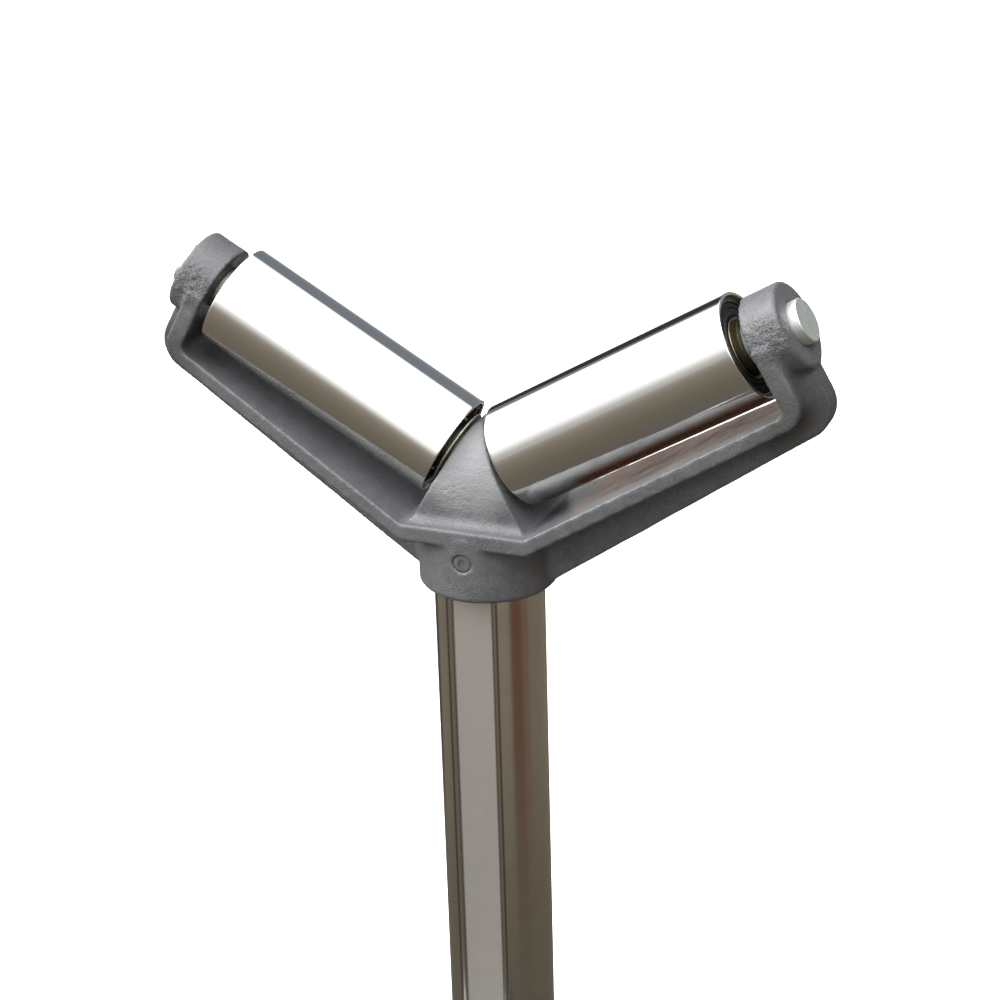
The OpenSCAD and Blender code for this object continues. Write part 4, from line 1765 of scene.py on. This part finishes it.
@dataclass(frozen=True)
class Lamp:
    """A soft lamp behind the tent's cloth."""

    toward: tuple[float, float, float]
    sharpness: float
    level: float

    def glow(self, graph: Graph, way: Wire) -> Wire:
        """Gives the lamp's light from a direction.

        Args:
            graph: The sky's graph.
            way: The direction.

        Returns:
            The light.
        """
        aim = tuple(Vector(self.toward).normalized())
        facing = graph.vector("DOT_PRODUCT", way, aim, output="Value")
        fall = (facing - 1) * self.sharpness
        return graph.node("ShaderNodeMath", {"operation": "EXPONENT"}, {0: fall}) * self.level


@dataclass(frozen=True)
class FloorBand:
    """A stretch of workshop floor in one bearing, as polished steel sees it."""

    bearing: float
    half: float
    light: Colour
    soft: float = 6.0

    def mask(self, graph: Graph, way: Wire) -> Wire:
        """Gives 1 in the band's bearing and 0 away from it.

        Args:
            graph: The floor's graph.
            way: The level direction from the post.

        Returns:
            The mask.
        """
        turn = math.radians(self.bearing)
        aim = (math.sin(turn), -math.cos(turn), 0.0)
        facing = graph.vector("DOT_PRODUCT", way, aim, output="Value")
        edge = math.cos(math.radians(self.half + self.soft))
        return facing.step(edge, math.cos(math.radians(max(self.half - self.soft, 0.0))))


@dataclass
class Studio:
    """The floor, the light and the camera, none of which belong to the stand."""

    floor_radius: float = 30.0
    azimuth: float = math.radians(22.488)
    elevation: float = math.radians(22.593)
    roll: float = math.radians(-1.709)
    focal_px: float = 2186.85
    frame_px: float = 1000.0
    sensor: float = 36.0
    distance: float = 1.0043
    aim_side: float = 6.43 * MM
    aim_rise: float = 39.08 * MM
    lamps: tuple[Lamp, ...] = (
        Lamp((0.19, -0.30, 0.94), 11.7, 6.7),
        Lamp((-0.78, -0.27, 0.57), 28.8, 18.5),
        Lamp((-0.96, 0.11, 0.25), 6.0, 0.3),
        Lamp((0.10, -0.90, 0.42), 8.0, 1.1),
    )
    bands: tuple[FloorBand, ...] = (
        FloorBand(132.0, 40.0, (0.255, 0.220, 0.165)),
        FloorBand(94.0, 9.0, (0.225, 0.150, 0.105)),
        FloorBand(75.0, 11.0, (0.180, 0.090, 0.062)),
        FloorBand(47.0, 12.0, (0.320, 0.275, 0.215)),
        FloorBand(-100.0, 14.0, (0.255, 0.225, 0.170)),
        FloorBand(-131.0, 9.0, (0.050, 0.050, 0.050)),
        FloorBand(-155.0, 12.0, (1.7, 1.66, 1.6)),
    )

    bands_start: tuple[float, float] = (0.9, 1.4)
    cloth_low: Colour = (0.46, 0.44, 0.41)
    cloth_high: Colour = (1.30, 1.30, 1.30)
    unlit: Colour = (0.0, 0.0, 0.0)
    back_high: Colour = (0.21, 0.235, 0.262)
    back_low: Colour = (0.34, 0.35, 0.36)
    doorway: Colour = (0.04, 0.04, 0.04)
    paper: Colour = (0.97, 0.97, 0.97)
    paper_lit: Colour = (1.0, 1.0, 1.0)
    floor_stops: tuple[tuple[float, Colour], ...] = (
        (0.0, (0.13, 0.125, 0.12)),
        (0.06, (0.166, 0.143, 0.107)),
        (0.13, (0.221, 0.19, 0.149)),
        (0.33, (0.313, 0.28, 0.23)),
        (1.0, (0.55, 0.53, 0.5)),
    )

    def camera(self) -> None:
        """Sets the camera at the photograph's viewing angle."""
        back = Vector((
            math.sin(self.azimuth) * math.cos(self.elevation),
            -math.cos(self.azimuth) * math.cos(self.elevation),
            math.sin(self.elevation),
        ))
        right = Vector((0, 0, 1)).cross(back).normalized()
        up = back.cross(right)
        turn = Matrix.Rotation(self.roll, 3, back)
        right, up = turn @ right, turn @ up
        aim = Vector((self.aim_side, 0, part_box("yoke")[0].z + self.aim_rise))
        data = bpy.data.cameras.new("photograph")
        data.sensor_width = self.sensor
        data.lens = self.focal_px / self.frame_px * self.sensor
        data.clip_end = 100
        made = bpy.data.objects.new("photograph", data)
        made.matrix_world = Matrix.Translation(aim + back * self.distance) @ Matrix(
            (right, up, back)
        ).transposed().to_4x4()
        bpy.context.scene.collection.objects.link(made)
        bpy.context.scene.camera = made

    def sky(self) -> None:
        """Lights the stand by a white tent that is open behind it and dark at its right."""
        world = bpy.data.worlds.new("tent")
        bpy.context.scene.world = world
        world.use_nodes = True
        graph = Graph(world.node_tree)
        way = graph.node("ShaderNodeTexCoord", output="Generated")
        x, y, z = graph.parts(way)
        tent = (z * 1.031 - x * 0.252 - y).step(-0.03, 0.03)
        cloth = graph.blend(z.step(-0.02, 0.26), self.cloth_low, self.cloth_high)
        cloth = graph.blend(x.step(0.30, 0.66), cloth, self.unlit)
        for lamp in self.lamps:
            cloth = graph.vector("ADD", cloth, lamp.glow(graph, way))
        back = graph.blend(z.step(0.30, 0.0), self.back_high, self.back_low)
        ratio = x / y.larger(0.001)
        dark = ratio.step(-1.05, -0.95) * ratio.step(-0.50, -0.60) * z.step(0.42, 0.30)
        back = graph.blend(dark, back, self.doorway)
        seen = graph.node("ShaderNodeLightPath", output="Is Camera Ray")
        colour = graph.blend(seen, graph.blend(tent, back, cloth), self.paper_lit)
        graph.end("ShaderNodeOutputWorld", graph.node("ShaderNodeBackground", {}, {"Color": colour}))

    def floor(self) -> None:
        """Lays a pale floor, which the polished parts see as the brown floor of a workshop."""
        shell = bmesh.new()
        bmesh.ops.create_circle(shell, cap_ends=True, radius=self.floor_radius, segments=96)
        mesh = bpy.data.meshes.new("floor")
        shell.to_mesh(mesh)
        shell.free()
        made = bpy.data.objects.new("floor", mesh)
        bpy.context.scene.collection.objects.link(made)

        def write(graph: Graph) -> None:
            """Writes the floor's nodes.

            Args:
                graph: The floor's graph.
            """
            away = graph.vector("LENGTH", graph.place(), output="Value")
            way = graph.vector("NORMALIZE", graph.place())
            share = away / (self.floor_radius / 2)
            glow = graph.node("ShaderNodeValToRGB", {"stops": self.floor_stops}, {0: share})
            far = away.step(*self.bands_start)
            for band in self.bands:
                glow = graph.blend(band.mask(graph, way) * far, glow, band.light)
            other = graph.node("ShaderNodeEmission", {}, {"Color": glow})
            pale = graph.node("ShaderNodeBsdfDiffuse", {}, {"Color": self.paper})
            seen = graph.node("ShaderNodeLightPath", output="Is Camera Ray")
            both = graph.node("ShaderNodeMixShader", {}, {0: seen, 1: other, 2: pale})
            graph.end("ShaderNodeOutputMaterial", both)

        mesh.materials.append(painted("floor", write))

    def build(self) -> None:
        """Sets up the studio."""
        bpy.context.scene.view_settings.view_transform = "Standard"
        self.camera()
        self.sky()
        self.floor()


def yoke_paint() -> CastPaint:
    """Gives the head's paint, with the rough places that the head has, a painted highlight on the pillar's
    front, painted shade at both bends and a reddish-brown streak on the right tray.

    Returns:
        The paint.
    """
    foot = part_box("yoke")[0].z
    patches = [Patch((-6 * MM, -25 * MM, foot + 46 * MM), 12 * MM, 0.9)]
    bend_shades = []
    for side in Side:
        ear = (side.value * 136.5 * MM, -19.8 * MM, foot + 136.1 * MM)
        bend = (side.value * 150 * MM, -4 * MM, foot + 98 * MM)
        patches.append(Patch(ear, 13 * MM, 1.6))
        # Painted shade at the bend of each arm.
        bend_shades.append(Tint(bend, 30 * MM, tone(58, 58, 57), 0.75))
    # Painted highlight on the pillar's front.
    pillar_highlight = Tint((0.0, -20 * MM, foot + 58 * MM), 26 * MM, tone(122, 123, 125), 0.9)
    axis = Axis.of_joint("right_roller_spin")
    streak = Streak(tuple(axis.point), tuple(axis.along), (-41 * MM, 66 * MM), (28 * MM, 33 * MM))
    return CastPaint(patches=tuple(patches), tints=(pillar_highlight, *bend_shades), streaks=(streak,))


def main() -> None:
    """Builds the stand and its studio in order."""
    logging.basicConfig(level=logging.INFO, format="%(name)s %(message)s")
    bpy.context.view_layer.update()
    Studio().build()
    plain = CastPaint()
    Casting("yoke", "head", yoke_paint(), voxel=0.85 * MM, edge=0.6 * MM, ends=70 * MM).build()
    Casting("base_casting", "base", plain, voxel=1.9 * MM, edge=2.0 * MM).build()
    Casting("column_collar", "base", plain, voxel=1.1 * MM).build()
    Post().build()
    for side in Side:
        RollerSet(side).build()
    SetScrews("head_grub_screws", "head", plain, from_middle, painted_over=True).build()
    for node, body, outward in (
        ("axle_grub_screws", "head", from_middle),
        ("column_screws", "base", from_post),
        ("collar_screws", "base", from_post),
        ("bush_screws", "head", from_post),
        ("foot_screws", "base", upwards),
    ):
        SetScrews(node, body, ZINC, outward).build()
    Column().build()
    Feet().build()
    Clamp().build()


if __name__ == "__main__":
    main()
